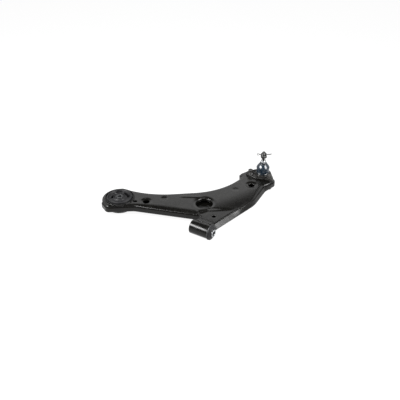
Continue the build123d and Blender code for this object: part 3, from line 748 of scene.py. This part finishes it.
def seam_welds():
    """Beads that join the two pressings along their seam, at the back and the front."""
    seam = OUTLINE + INWARD * (LEAN + 2.3)[:, None]
    x, y = seam.T
    far = (INWARD[:, 1] < -0.3) & (x > -300) & (y < 285)
    front = (INWARD[:, 0] < -0.7) & (y > 60) & (y < 300)
    made = []
    for name, chosen, seed in (("seam_weld_far", far, 3), ("seam_weld_front", front, 5)):
        runs = np.flatnonzero(chosen)
        path = np.column_stack([seam[runs], np.full(len(runs), SEAM_Z - 0.6)])
        made.append(weld(name, path, radius=1.3, seed=seed))
    return made


def ring_welds():
    """Beads round the rear bush housing, on the top and on the underside."""
    angles = np.radians(np.arange(0, 361, 1.0))
    x = REAR[0] + (RING_R + 1.1) * np.cos(angles)
    y = REAR[1] + (RING_R + 1.1) * np.sin(angles)
    height, inset = skin_height(x, y)
    top = np.column_stack([x, y, height + 0.3])[inset > 0.5]
    under = np.column_stack([x, y, np.full(len(x), BOTTOM_Z - 0.2)])
    under = under[nearest(under[:, :2], OUTLINE)[0] > 3.5]
    return [weld("rear_ring_weld_top", top, radius=1.3, seed=6), weld("rear_ring_weld_under", under, seed=7)]


def tube_welds():
    """Beads where the front bush tube meets the bracket and the underside."""
    y = math.sqrt(TUBE_R**2 - BOTTOM_Z**2)
    under = [(x, y + 0.6, BOTTOM_Z - 0.4) for x in np.arange(-28, 23, 1.0)]
    crown = [(x, 8.4, 20.4) for x in np.arange(-28, 23, 1.0)]
    made = [weld("tube_weld_under", under, radius=2.6, seed=8)]
    made.append(weld("tube_weld_crown", crown, radius=1.3, seed=9))
    angles = np.radians(np.arange(22, -24, -2.0))
    left = [(-31.6, (TUBE_R + 1) * math.cos(a), (TUBE_R + 1) * math.sin(a)) for a in angles]
    made.append(weld("tube_weld_left", left, radius=2.2, seed=10))
    return made


def saddle_bracket():
    """Pressed saddle from the tube's crown down to the shelf, with turned-down edges."""
    across, back = 30, 26
    edge, drop = 5.0, 3.6
    grid = np.zeros((back, across, 3))
    for i in range(back):
        for j in range(across):
            u, v = j / (across - 1), i / (back - 1)
            guess = 9 + 35 * v
            left, right = -29.0, 23.3 - 19 * float(smooth(guess, 18, 54))
            x = left + (right - left) * u
            end = 41 + (x + 17) * 7 / 24
            y = 9 + (end - 9) * v
            z = 10.2 + 12.3 * (1 - float(smooth(y, 5, 50)))
            side = max(0.0, 1 - min(x - left, right - x) / edge)
            tail = max(0.0, 1 - (end - y) / 3.0)
            z -= drop * (1 - math.sqrt(max(0.0, 1 - side * side))) + 1.6 * (1 - math.sqrt(1 - tail * tail))
            grid[i, j] = (x, y, z)
    verts = [tuple(p) for p in grid.reshape(-1, 3)]
    faces = []
    for i in range(back - 1):
        for j in range(across - 1):
            a = i * across + j
            faces.append((a, a + 1, a + across + 1, a + across))
    rim = list(range(across))
    rim += [i * across + across - 1 for i in range(1, back)]
    rim += [(back - 1) * across + j for j in range(across - 2, -1, -1)]
    rim += [i * across for i in range(back - 2, 0, -1)]
    first = len(verts)
    for index in rim:
        x, y, z = verts[index]
        low = math.sqrt(TUBE_R**2 - y * y) - 1 if y < 15 else 4.0 - 8 * float(smooth(x, 0, 18))
        verts.append((x, y, low))
    count = len(rim)
    for k in range(count):
        m = (k + 1) % count
        faces.append((rim[k], first + k, first + m, rim[m]))
    faces.append([first + k for k in range(count)])
    made = new_object("front_saddle_bracket", verts, faces, PAINT, "arm", sharp=50)
    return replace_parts(made, "front_bush_bracket")


# ---------------------------------------------------------------- front bush
def front_bush():
    """Tube, flanged outer sleeve, rubber with moulded ends, and inner sleeve."""
    origin = (0, 0, 0)
    back, front = TUBE_BACK, TUBE_FRONT
    tube = soft_profile([(TUBE_R, back, 1.3), (TUBE_R, front, 1.0), (18.5, front, 0.5), (18.5, back, 0.5)])
    verts, faces = turned(tube, origin, "X", 144)
    made = new_object("front_tube", verts, faces, PAINT, "arm")
    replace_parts(made, "front_bush_tube")

    sleeve = soft_profile([
        (16.45, back, 0.4), (18.45, back, 0.4), (18.45, front + 0.1, 0), (FLANGE_R, front + 0.1, 0.8),
        (FLANGE_R, front + 2.4, 0.9), (16.45, front + 2.4, 0.2),
    ])
    verts, faces = turned(sleeve, origin, "X", 144)
    made = new_object("front_outer_sleeve", verts, faces, PHOSPHATE, "arm")
    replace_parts(made, "front_bush_outer_sleeve")

    rubber = soft_profile([
        (12.05, -37.4, 0.6), (13.6, -37.6, 0.7), (14.3, -35.0, 0.9), (15.4, -37.2, 0.5), (16.4, -36.8, 0.4),
        (16.4, 27, 0.2), (22.6, 27, 0.6), (23.0, 28.6, 1.2), (22.2, 31.2, 1.6), (19.2, 32.2, 2.5),
        (15.6, 34.6, 1.5), (14.6, 35.9, 0.7), (12.9, 35.9, 0.4), (12.05, 35.2, 0.3),
    ])
    verts, faces = turned(rubber, origin, "X", 144)
    made = new_object("front_rubber", verts, faces, RUBBER, "arm")
    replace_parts(made, "front_bush_rubber")

    teeth = 36

    def serrated(angle):
        bite = 0.35 * (0.5 + 0.5 * math.cos(teeth * angle))
        return [(7.1, -37.4), (7.6, -37.95 + bite), (11.4, -38 + bite), (12, -37.4),
                (12, 37.4), (11.4, 38 - bite), (7.6, 37.95 - bite), (7.1, 37.4)]

    verts, faces = turned(serrated, origin, "X", teeth * 6)
    made = new_object("front_inner_sleeve", verts, faces, BRIGHT, "front_core", sharp=28)
    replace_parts(made, "front_bush_inner_sleeve")


# ---------------------------------------------------------------- rear bush
REAR_VOIDS = [(27.5, 10.0, 64.0, 44.0), (30.5, 7.0, 131.0, 24.0), (23.5, 7.0, 200.0, 20.0)]
NUB_ANGLES = [84.0, 214.0, 279.0]
WEB_IN, WEB_OUT = 17.0, 35.4
WEB_SECTORS = 12


def void_distance(void, x, y):
    """Distance from a plan point, about the bush axis, to the middle line of a void."""
    radius, _, middle, span = void
    angle = (np.degrees(np.arctan2(y, x)) - middle + 180) % 360 - 180
    held = np.radians(np.clip(angle, -span / 2, span / 2) + middle)
    return np.hypot(x - radius * np.cos(held), y - radius * np.sin(held))


def web_height(x, y):
    """Top of the rubber web: a shallow dish with moulded lips round the voids."""
    r = np.hypot(x, y)
    z = 14.6 - 1.5 * np.sin(np.pi * np.clip((r - WEB_IN) / (WEB_OUT - WEB_IN), 0, 1))
    z = z + 2.0 * (1 - smooth(r, WEB_IN, WEB_IN + 2.5)) + 3.4 * smooth(r, WEB_OUT - 2.4, WEB_OUT)
    for void in REAR_VOIDS:
        gap = void_distance(void, x, y) - void[1] / 2
        tall = 2.6 if void is REAR_VOIDS[1] else 0.7
        z = z + tall * np.exp(-((gap - 2.2) / 1.5) ** 2) * (1 - smooth(r, 30, 33.5))
    return z


def kidney(void):
    """Cutter for one void through the web."""
    radius, width, middle, span = void
    half, steps = math.radians(span / 2), 14
    outline = []
    for k in range(steps + 1):
        a = math.radians(middle) - half + 2 * half * k / steps
        outline.append(((radius + width / 2) * math.cos(a), (radius + width / 2) * math.sin(a)))
    for end, start in ((half, 0.0), (-half, math.pi)):
        a = math.radians(middle) + end
        cx, cy = radius * math.cos(a), radius * math.sin(a)
        for k in range(1, steps):
            b = a + start + math.pi * k / steps
            outline.append((cx + width / 2 * math.cos(b), cy + width / 2 * math.sin(b)))
        if start == 0.0:
            for m in range(steps, -1, -1):
                c = math.radians(middle) - half + 2 * half * m / steps
                outline.append(((radius - width / 2) * math.cos(c), (radius - width / 2) * math.sin(c)))
    count = len(outline)
    verts = [(REAR[0] + x, REAR[1] + y, z) for z in (-40.0, 40.0) for x, y in outline]
    faces = [list(range(count)), list(range(count, 2 * count))]
    faces += [(k, (k + 1) % count, count + (k + 1) % count, count + k) for k in range(count)]
    return new_object("cutter", verts, faces, RUBBER, None)


def polar_block(radii, count, top, bottom):
    """Closed ring of rubber about the rear axis, its top following a height."""
    rings = []
    for r in radii:
        plan = feature_ring((0, 0, 0, 0), r, count)
        rings.append(np.column_stack([plan, top(*plan.T)]))
    for r in (radii[-1], radii[0]):
        plan = feature_ring((0, 0, 0, 0), r, count)
        rings.append(np.column_stack([plan, np.full(count, bottom)]))
    rings.append(rings[0])
    sheet = Sheet()
    sheet.rows([ring + np.array(REAR) for ring in rings])
    return sheet


def rear_web():
    """The rubber between rim and boss, with its voids cut through, split into separate sectors."""
    whole = polar_block(np.linspace(WEB_IN, WEB_OUT, 27), 240, web_height, -16.5)
    made = whole.piece("rear_web", RUBBER, None, None)
    carve(made, [kidney(void) for void in REAR_VOIDS])
    centre = Vector(REAR) * MM
    for k in range(WEB_SECTORS):
        low, high = (2 * math.pi * (k + side) / WEB_SECTORS for side in (0, 1))
        wedge = bmesh.new()
        wedge.from_mesh(made.data)
        for angle, sign in ((low, 1), (high, -1)):
            bmesh.ops.bisect_plane(
                wedge, geom=wedge.verts[:] + wedge.edges[:] + wedge.faces[:], dist=1e-7, plane_co=centre,
                plane_no=(math.sin(angle) * sign, -math.cos(angle) * sign, 0), clear_outer=True)
            cut = [e for e in wedge.edges if e.is_boundary]
            bmesh.ops.holes_fill(wedge, edges=cut, sides=0)
        mesh = bpy.data.meshes.new("rear_web")
        wedge.to_mesh(mesh)
        wedge.free()
        mesh.materials.append(RUBBER)
        sector = bpy.data.objects.new(f"rear_web_{k + 1:02d}", mesh)
        bpy.context.scene.collection.objects.link(sector)
        shade(sector, 40)
        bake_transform(sector)
        if k == 0:
            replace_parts(sector, "rear_bush_rubber")
    bpy.data.objects.remove(made)


def boss_height(x, y):
    """Top of the rubber boss round the core, with three stop nubs."""
    r = np.hypot(x, y)
    z = 16.6 + 0.5 * np.exp(-((r - 10.4) / 0.8) ** 2) - 0.9 * smooth(r, 15, WEB_IN)
    for angle in NUB_ANGLES:
        a = math.radians(angle)
        gap = np.hypot(x - 12.9 * math.cos(a), y - 12.9 * math.sin(a))
        z = z + 3.0 * np.sqrt(np.clip(1 - (gap / 3.3) ** 2, 0, 1))
    return z


def rear_bush():
    """Housing ring, outer sleeve, rubber rim and boss, and the core."""
    ring = soft_profile([(RING_R, -14, 0.5), (RING_R, 17, 0.7), (43.8, 17, 0.7), (43.8, -14, 0.5)], 0.3)
    verts, faces = turned(ring, REAR, count=192)
    made = new_object("rear_ring", verts, faces, PAINT, "arm")
    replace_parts(made, "rear_bush_housing")

    sleeve = soft_profile([(43.75, -16, 0.5), (43.75, 13, 0.7), (41.5, 13, 0.7), (41.5, -16, 0.5)], 0.3)
    verts, faces = turned(sleeve, REAR, count=192)
    made = new_object("rear_sleeve", verts, faces, PHOSPHATE, "arm")
    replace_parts(made, "rear_bush_outer_sleeve")

    rim = soft_profile([
        (WEB_OUT - 0.1, -17.5, 1.5), (41.3, -17.5, 1.2), (41.3, 13.2, 0.3), (39.8, 13.4, 0.6),
        (39.2, 18.4, 1), (38.4, 19.5, 0.8), (36.9, 19.5, 1.2), (WEB_OUT - 0.1, 17.6, 0.6),
    ])
    verts, faces = turned(rim, REAR, count=192)
    new_object("rear_rubber_rim", verts, faces, RUBBER, "arm")

    boss = polar_block(np.linspace(9.65, WEB_IN + 0.15, 20), 180, boss_height, -17.5)
    boss.piece("rear_rubber_boss", RUBBER, "bush_rubber", "rear_core")

    core = soft_profile([(7.1, -21.5, 0.4), (9.6, -21.5, 0.6), (9.6, 18.5, 0.6), (7.1, 18.5, 0.4)], 0.2)
    verts, faces = turned(core, REAR, count=96)
    made = new_object("rear_core_sleeve", verts, faces, PHOSPHATE, "rear_core")
    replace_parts(made, "rear_bush_core")
    rear_web()


# ---------------------------------------------------------------- ball joint
PLATE_CIRCLES = [(23, 347, 27), (-12, 328, 14), (57, 329, 11.5), (15, 326, 17)]


def plate_outline(count=240):
    """Points and inward normals of the smallest convex outline round the circles."""
    points, normals = [], []
    for k in range(count):
        angle = -2 * math.pi * k / count
        out = np.array([math.cos(angle), math.sin(angle)])
        best = max(PLATE_CIRCLES, key=lambda c: c[0] * out[0] + c[1] * out[1] + c[2])
        points.append(np.array(best[:2]) + best[2] * out)
        normals.append(-out)
    return np.array(points), np.array(normals)


def plate_height(x, y):
    """Top of the forged plate: a collar round the boot and a pad under each bolt."""
    z = np.full(np.shape(x), 20.0)
    middle = np.hypot(x - BALL[0], y - BALL[1])
    z = np.maximum(z, 20 + 4 * (1 - smooth(middle, 23.5, 28)))
    for bx, by, _ in BOLTS:
        z = np.maximum(z, 20 + 4 * (1 - smooth(np.hypot(x - bx, y - by), 9, 12)))
    return z


def ball_plate():
    """Forged plate over the outboard end, and the socket that hangs below it."""
    outline, inward = plate_outline()
    sheet = Sheet()
    round_w, round_d = 3.5, 3.0
    inner = outline + inward * round_w
    level = plate_height(*inner.T)
    rings = [np.column_stack([outline + inward * 0.8, np.full(len(outline), TOP_Z)]),
             np.column_stack([outline, np.full(len(outline), TOP_Z + 0.8)])]
    for k in range(ROUND_STEPS + 1):
        turn = math.pi / 2 * k / ROUND_STEPS
        plan = outline + inward * round_w * (1 - math.cos(turn))
        rings.append(np.column_stack([plan, level - round_d * (1 - math.sin(turn))]))
    sheet.rows(rings)
    mouth = [((BALL[0], BALL[1], 0, 0), [
        (21.2, 0, 0), (20.6, 0, 0), (20.4, -0.3, 0), (20.4, TOP_Z - PLATE_TOP, 0)])]
    sheet.feature(mouth[0], plate_height)
    sheet.fill(inner, mouth, plate_height, 2.5)
    base = [((BALL[0], BALL[1], 0, 0), [(20.4, 0, 0)])]
    sheet.fill(outline + inward * 0.8, base, lambda x, y: np.full(np.shape(x), TOP_Z), 8.0)
    made = sheet.piece("ball_joint_plate", FORGED, "forged_paint", "arm")
    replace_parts(made, "ball_joint_housing")

    socket = soft_profile([
        (12.6, 13, 0.3), (17.2, 24.1, 0.6), (20.6, 24.1, 0.5), (20.6, -4, 0), (20.5, -9, 0.6),
        (19.9, -10, 0.4),
        (20.3, -11, 0.4), (19.9, -14, 1.2), (18.0, -14, 0.3), (18.0, -9.5, 0), (16.5, -9.5, 0), (16.5, 13, 0),
    ], 0.4)
    verts, faces = turned(socket, BALL, count=128)
    new_object("ball_joint_socket", verts, faces, FORGED, "arm")

    cover = [(1, -10.6), (7, -10.7), (9.5, -11.6), (16.6, -12), (17.9, -11.4), (17.9, -9.6), (1, -9.6)]
    verts, faces = turned(cover, BALL, count=96, closed=False)
    made = new_object("ball_joint_base_cover", verts, faces, ZINC, "arm")
    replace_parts(made, "ball_joint_cover")


def hexagon(angle, flats, turn=0.0):
    """Radius of a hexagon across the given flats, at an angle."""
    third = math.pi / 3
    return flats / 2 / math.cos((angle - turn + third / 2) % third - third / 2)


def hex_rows(flats, low, high, lean, turn=0.0):
    """Profile function of a hexagonal block with chamfered corners at its top."""
    top_r = flats / 2 - 0.3

    def rows(angle):
        r = hexagon(angle, flats, turn)
        return [(r, low), (r, high - (r - top_r) * lean), (top_r, high)]

    return rows


def bolts_and_nuts():
    """Flange bolts through the plate, with flange nuts and threaded ends below."""
    for number, spot in enumerate(BOLTS, 1):
        turn = 0.4 + 0.5 * number
        head = hex_rows(14, 26, 32, 0.55, turn)

        def bolt(angle):
            corner = head(angle)
            return [(8.5, 24), (9.1, 24), (9.3, 24.5), (9.1, 25.2), (8.0, 25.9), *corner[:3],
                    (5.2, 32.0), (4.6, 31.4), (2, 31.3)]

        verts, faces = turned(bolt, spot, count=144, closed=False)
        made = new_object(f"ball_joint_bolt_{number}", verts, faces, OXIDE, "arm", sharp=24)
        if number == 1:
            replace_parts(made, "ball_joint_bolts")

        foot = hex_rows(14, 2, 10, 0.55, turn + 0.3)

        def nut(angle):
            corner = foot(angle)
            return [(5.0, 0), (8.8, 0), (9.1, 0.4), (9.0, 1.2), (8.0, 1.9), corner[0], corner[1], corner[2],
                    (5.6, 10), (5.0, 9.3)]

        verts, faces = turned(nut, (0, 0, 0), count=144)
        verts = [(spot[0] + x, spot[1] + y, BOTTOM_Z - z) for x, y, z in verts]
        made = new_object(f"ball_joint_nut_{number}", verts, faces, OXIDE, "arm", sharp=24)
        if number == 1:
            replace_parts(made, "ball_joint_nuts")
        verts, faces = thread(spot, 4.95, -21.5, -16.5, 1.25, 0.5)
        new_object(f"ball_joint_bolt_end_{number}", verts, faces, OXIDE, "arm", sharp=60)


def thread(spot, radius, low, high, pitch, depth, chamfer_low=True, chamfer_high=False):
    """A threaded rod: a helical groove on a closed cylinder."""
    rows, count = int((high - low) / pitch * 8), 48
    levels = np.linspace(low, high, rows)

    def profile(angle):
        points = []
        for z in levels:
            phase = (z / pitch - angle / (2 * math.pi)) % 1
            r = radius - depth * (1 - abs(2 * phase - 1) * 1.15 if phase else 0)
            r = min(r, radius)
            if chamfer_low:
                r = min(r, radius - 1.1 + (z - low))
            if chamfer_high:
                r = min(r, radius - 1.1 + (high - z))
            points.append((r, z))
        return points

    return turned(profile, spot, count=count, closed=False)


def ball_stud():
    """Turned stud: ball, neck, taper and threaded end."""
    ball = []
    for k in range(1, 25):
        a = -math.pi / 2 + (math.pi / 2 + math.acos(6.8 / 13.5)) * k / 24
        ball.append((13.5 * math.cos(a), BALL_Z + 13.5 * math.sin(a)))
    shank = [(6.8, 20), (6.8, 44), (8.6, 49), (9.0, 50.5), (9.0, 52), (8.0, 68), (7.6, 68.6), (6.1, 69)]
    verts, faces = turned(ball + shank, BALL, count=128, closed=False)
    made = new_object("ball_stud_body", verts, faces, BRIGHT, "stud", sharp=30)
    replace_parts(made, "ball_stud")
    verts, faces = thread(BALL, 6.0, 68.5, 97, 1.5, 0.75, chamfer_low=False)
    new_object("ball_stud_thread", verts, faces, ZINC, "stud", sharp=60)
    tip = [(5.2, 95), (5.2, 98.3), (4.9, 99.2), (4.2, 99.8), (3.2, 100)]
    verts, faces = turned(tip, BALL, count=64, closed=False)
    new_object("ball_stud_tip", verts, faces, OXIDE, "stud")


def castle_nut():
    """Hexagon nut with a slotted crown."""
    body = hex_rows(19, 0.8, 8, 0.5, PIN_ANGLE)
    low, high = 80.0, 94.0

    def profile(angle):
        corner = body(angle)
        flat = hexagon(angle, 19, PIN_ANGLE)
        return [(6.2, low), (9.2, low), (flat, low + 0.8), (corner[1][0], low + corner[1][1]),
                (9.2, low + 8), (8.9, low + 8.4), (8.9, high - 0.7), (8.3, high), (6.6, high),
                (6.2, high - 0.5)]

    verts, faces = turned(profile, BALL, count=144)
    made = new_object("castle_nut_body", verts, faces, ZINC, "stud", sharp=24)
    cutters = []
    for k in range(3):
        angle = PIN_ANGLE + k * math.pi / 3
        c, s = math.cos(angle), math.sin(angle)
        verts = [(BALL[0] + c * u - s * v, BALL[1] + s * u + c * v, z)
                 for z in (high - 4.8, high + 4) for u, v in ((-15, -1.7), (15, -1.7), (15, 1.7), (-15, 1.7))]
        faces = [(0, 1, 2, 3), (4, 5, 6, 7), (0, 1, 5, 4), (1, 2, 6, 5), (2, 3, 7, 6), (3, 0, 4, 7)]
        cutters.append(new_object("cutter", verts, faces, ZINC, None))
    carve(made, cutters, sharp=24)
    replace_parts(made, "castle_nut")


def split_pin():
    """Two legs of half-round wire from one eye, their tips sprung a little apart."""
    ahead = np.array([math.cos(PIN_ANGLE), math.sin(PIN_ANGLE), 0])
    middle = np.array([BALL[0], BALL[1], 91.0])
    path = []
    for s in np.linspace(25.5, -13, 30):
        spread = 0.75 + 1.5 * max(0.0, (s - 14) / 11.5) ** 2
        path.append(middle + ahead * s + np.array([0, 0, spread]))
    eye = middle + ahead * -18.6
    for k in range(25):
        a = math.radians(35 + 290 * k / 24)
        path.append(eye + ahead * (3.1 * math.cos(a)) + np.array([0, 0, 3.1 * math.sin(a)]))
    for s in np.linspace(-13, 25.5, 30):
        spread = 0.75 + 1.0 * max(0.0, (s - 14) / 11.5) ** 2
        path.append(middle + ahead * s + np.array([0, 0, -spread]))
    verts, faces = tube_along(path, 0.75, 12)
    made = new_object("split_pin", verts, faces, ZINC, "stud", sharp=60)
    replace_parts(made, "cotter_pin")


def coil(radius, low, turns, wire, body, name, start):
    """A spring ring: a few close turns of wire round the boot."""
    steps = int(96 * turns)
    path = []
    for k in range(steps + 1):
        a = start + 2 * math.pi * turns * k / steps
        z = low + 2.05 * wire * turns * k / steps
        path.append((BALL[0] + radius * math.cos(a), BALL[1] + radius * math.sin(a), z))
    verts, faces = tube_along(path, wire, 10)
    return new_object(name, verts, faces, ZINC, body, sharp=60)


# Boot sections, up the outside and down the inside: radius, height.
BOOT_SPLIT_Z = 38.4
BOOT_LOWER = [
    (20.2, 24.2), (21.3, 24.3), (21.9, 25.1), (21.6, 26.0), (20.9, 26.5), (20.8, 28.6), (20.9, 30.0),
    (21.0, 32.0), (21.0, 34.0), (20.9, 36.0), (20.7, 37.4), (20.6, BOOT_SPLIT_Z),
    (18.5, BOOT_SPLIT_Z), (18.7, 36.4), (18.8, 34), (18.8, 30), (18.6, 27), (18.4, 24.2),
]
BOOT_UPPER = [
    (20.6, BOOT_SPLIT_Z), (20.9, 39.6), (21.4, 41.0), (21.7, 42.4), (21.5, 43.8), (20.7, 45.9),
    (18.9, 48.8), (17.1, 51.4), (15.4, 53.7), (13.8, 55.6), (12.4, 56.9), (11.4, 57.3), (10.9, 57.8),
    (10.9, 58.7), (11.5, 59.2), (11.6, 59.8), (11.0, 60.3), (9.6, 60.3), (9.15, 59.8), (9.15, 55.5),
    (11.5, 54), (14.5, 51.6), (17.4, 48.4), (19.1, 45.4), (19.4, 43.2), (19.0, 40.6), (18.5, BOOT_SPLIT_Z),
]


def boot():
    """Bell-shaped dust boot in two halves, with its two spring rings."""
    low = Vector((BALL[0], BALL[1], 25)) * MM
    split = Vector((BALL[0], BALL[1], BOOT_SPLIT_Z)) * MM
    lip = Vector((BALL[0], BALL[1], 57)) * MM
    for name, profile, pair, start, end in (
        ("dust_boot_lower", BOOT_LOWER, ("arm", "boot_mid"), low, split),
        ("dust_boot_upper", BOOT_UPPER, ("boot_mid", "boot_top"), split, lip),
    ):
        verts, faces = turned(profile, BALL, count=128)
        made = new_object(name, verts, faces, BOOT, None, sharp=50)
        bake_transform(made)
        if name == "dust_boot_lower":
            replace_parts(made, "dust_boot")
    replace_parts(coil(21.5, 26.7, 2, 0.5, "arm", "boot_lower_spring", 0.6), "boot_lower_ring")
    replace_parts(coil(11.5, 57.5, 2, 0.4, "boot_top", "boot_top_spring", 2.1), "boot_top_ring")


# ---------------------------------------------------------------- stage
LIGHT_DISTANCE = 1.5


def soft_light(name, direction, width, height, power):
    """A soft box that faces the middle of the part."""
    data = bpy.data.lights.new(name, "AREA")
    data.shape = "RECTANGLE"
    data.size, data.size_y = width, height
    data.energy = power
    lamp = bpy.data.objects.new(name, data)
    bpy.context.scene.collection.objects.link(lamp)
    middle = Vector((-0.1, 0.12, 0.0))
    lamp.location = middle + Vector(direction).normalized() * LIGHT_DISTANCE
    lamp.rotation_euler = (middle - lamp.location).to_track_quat("-Z", "Y").to_euler()
    return lamp


def studio():
    """Pale floor, soft boxes at the left, the right and overhead, and a graded surround."""
    floor_z = cad_box[0].z
    bpy.ops.mesh.primitive_plane_add(size=12, location=(0, 0, floor_z))
    floor = bpy.context.object
    floor.name = "floor"
    n = Nodes("floor")
    n.set(Base_Color=(0.1, 0.1, 0.1, 1), Roughness=0.9, Emission_Color=(1, 1, 1, 1), Emission_Strength=0.92)
    n.set(Specular_IOR_Level=0.0)
    floor.data.materials.append(n.material)

    soft_light("left_box", (-0.43, -0.60, 0.67), 1.1, 0.42, 46)
    soft_light("right_box", (0.86, 0.10, 0.62), 0.8, 0.8, 36)
    soft_light("top_box", (0.14, 0.01, 0.99), 0.6, 0.6, 4)

    world = bpy.data.worlds.new("surround")
    world.use_nodes = True
    tree = world.node_tree
    place = tree.nodes.new("ShaderNodeTexCoord").outputs["Generated"]
    backdrop = tree.nodes["Background"]
    backdrop.inputs["Color"].default_value = (1, 1, 1, 1)

    def band(direction, low, high, to_low, to_high):
        """A soft step in brightness along a direction."""
        along_it = tree.nodes.new("ShaderNodeVectorMath")
        along_it.operation = "DOT_PRODUCT"
        along_it.inputs[1].default_value = direction
        tree.links.new(place, along_it.inputs[0])
        step = tree.nodes.new("ShaderNodeMapRange")
        step.interpolation_type = "SMOOTHSTEP"
        tree.links.new(along_it.outputs["Value"], step.inputs["Value"])
        limits = {"From Min": low, "From Max": high, "To Min": to_low, "To Max": to_high}
        for socket, number in limits.items():
            step.inputs[socket].default_value = number
        return step.outputs["Result"]

    strength = band((0, 0, 1), 0.585, 0.7, 1.7, 0.02)
    near_floor = band((0, 0, 1), 0.1, 0.46, 0.25, 1.0)
    front_side = band((0.515, -0.857, 0), 0.0, 0.5, 1.0, 0.12)
    for other in (near_floor, front_side):
        both = tree.nodes.new("ShaderNodeMath")
        both.operation = "MULTIPLY"
        tree.links.new(strength, both.inputs[0])
        tree.links.new(other, both.inputs[1])
        strength = both.outputs["Value"]
    tree.links.new(strength, backdrop.inputs["Strength"])
    bpy.context.scene.world = world
    bpy.context.scene.view_settings.view_transform = "Standard"


def camera():
    """The camera, above the arm on the side of the front bush."""
    data = bpy.data.cameras.new("camera")
    data.lens = 58
    data.sensor_width = 36
    made = bpy.data.objects.new("camera", data)
    bpy.context.scene.collection.objects.link(made)
    made.location = (0.7790, -1.3126, 1.1349)
    aim = Vector((-0.0322, 0.0376, 0.0724)) - Vector(made.location)
    made.rotation_euler = aim.to_track_quat("-Z", "Y").to_euler()
    bpy.context.scene.camera = made


# ---------------------------------------------------------------- assembly
upper_pressing()
lower_pressing()
saddle_bracket()
seam_welds()
ring_welds()
tube_welds()
front_bush()
rear_bush()
ball_plate()
bolts_and_nuts()
ball_stud()
castle_nut()
split_pin()
boot()
for node, material in (("ball_seat", SEAT), ("crush_sleeves", OXIDE)):
    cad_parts[node].data.materials.clear()
    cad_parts[node].data.materials.append(material)
studio()
camera()
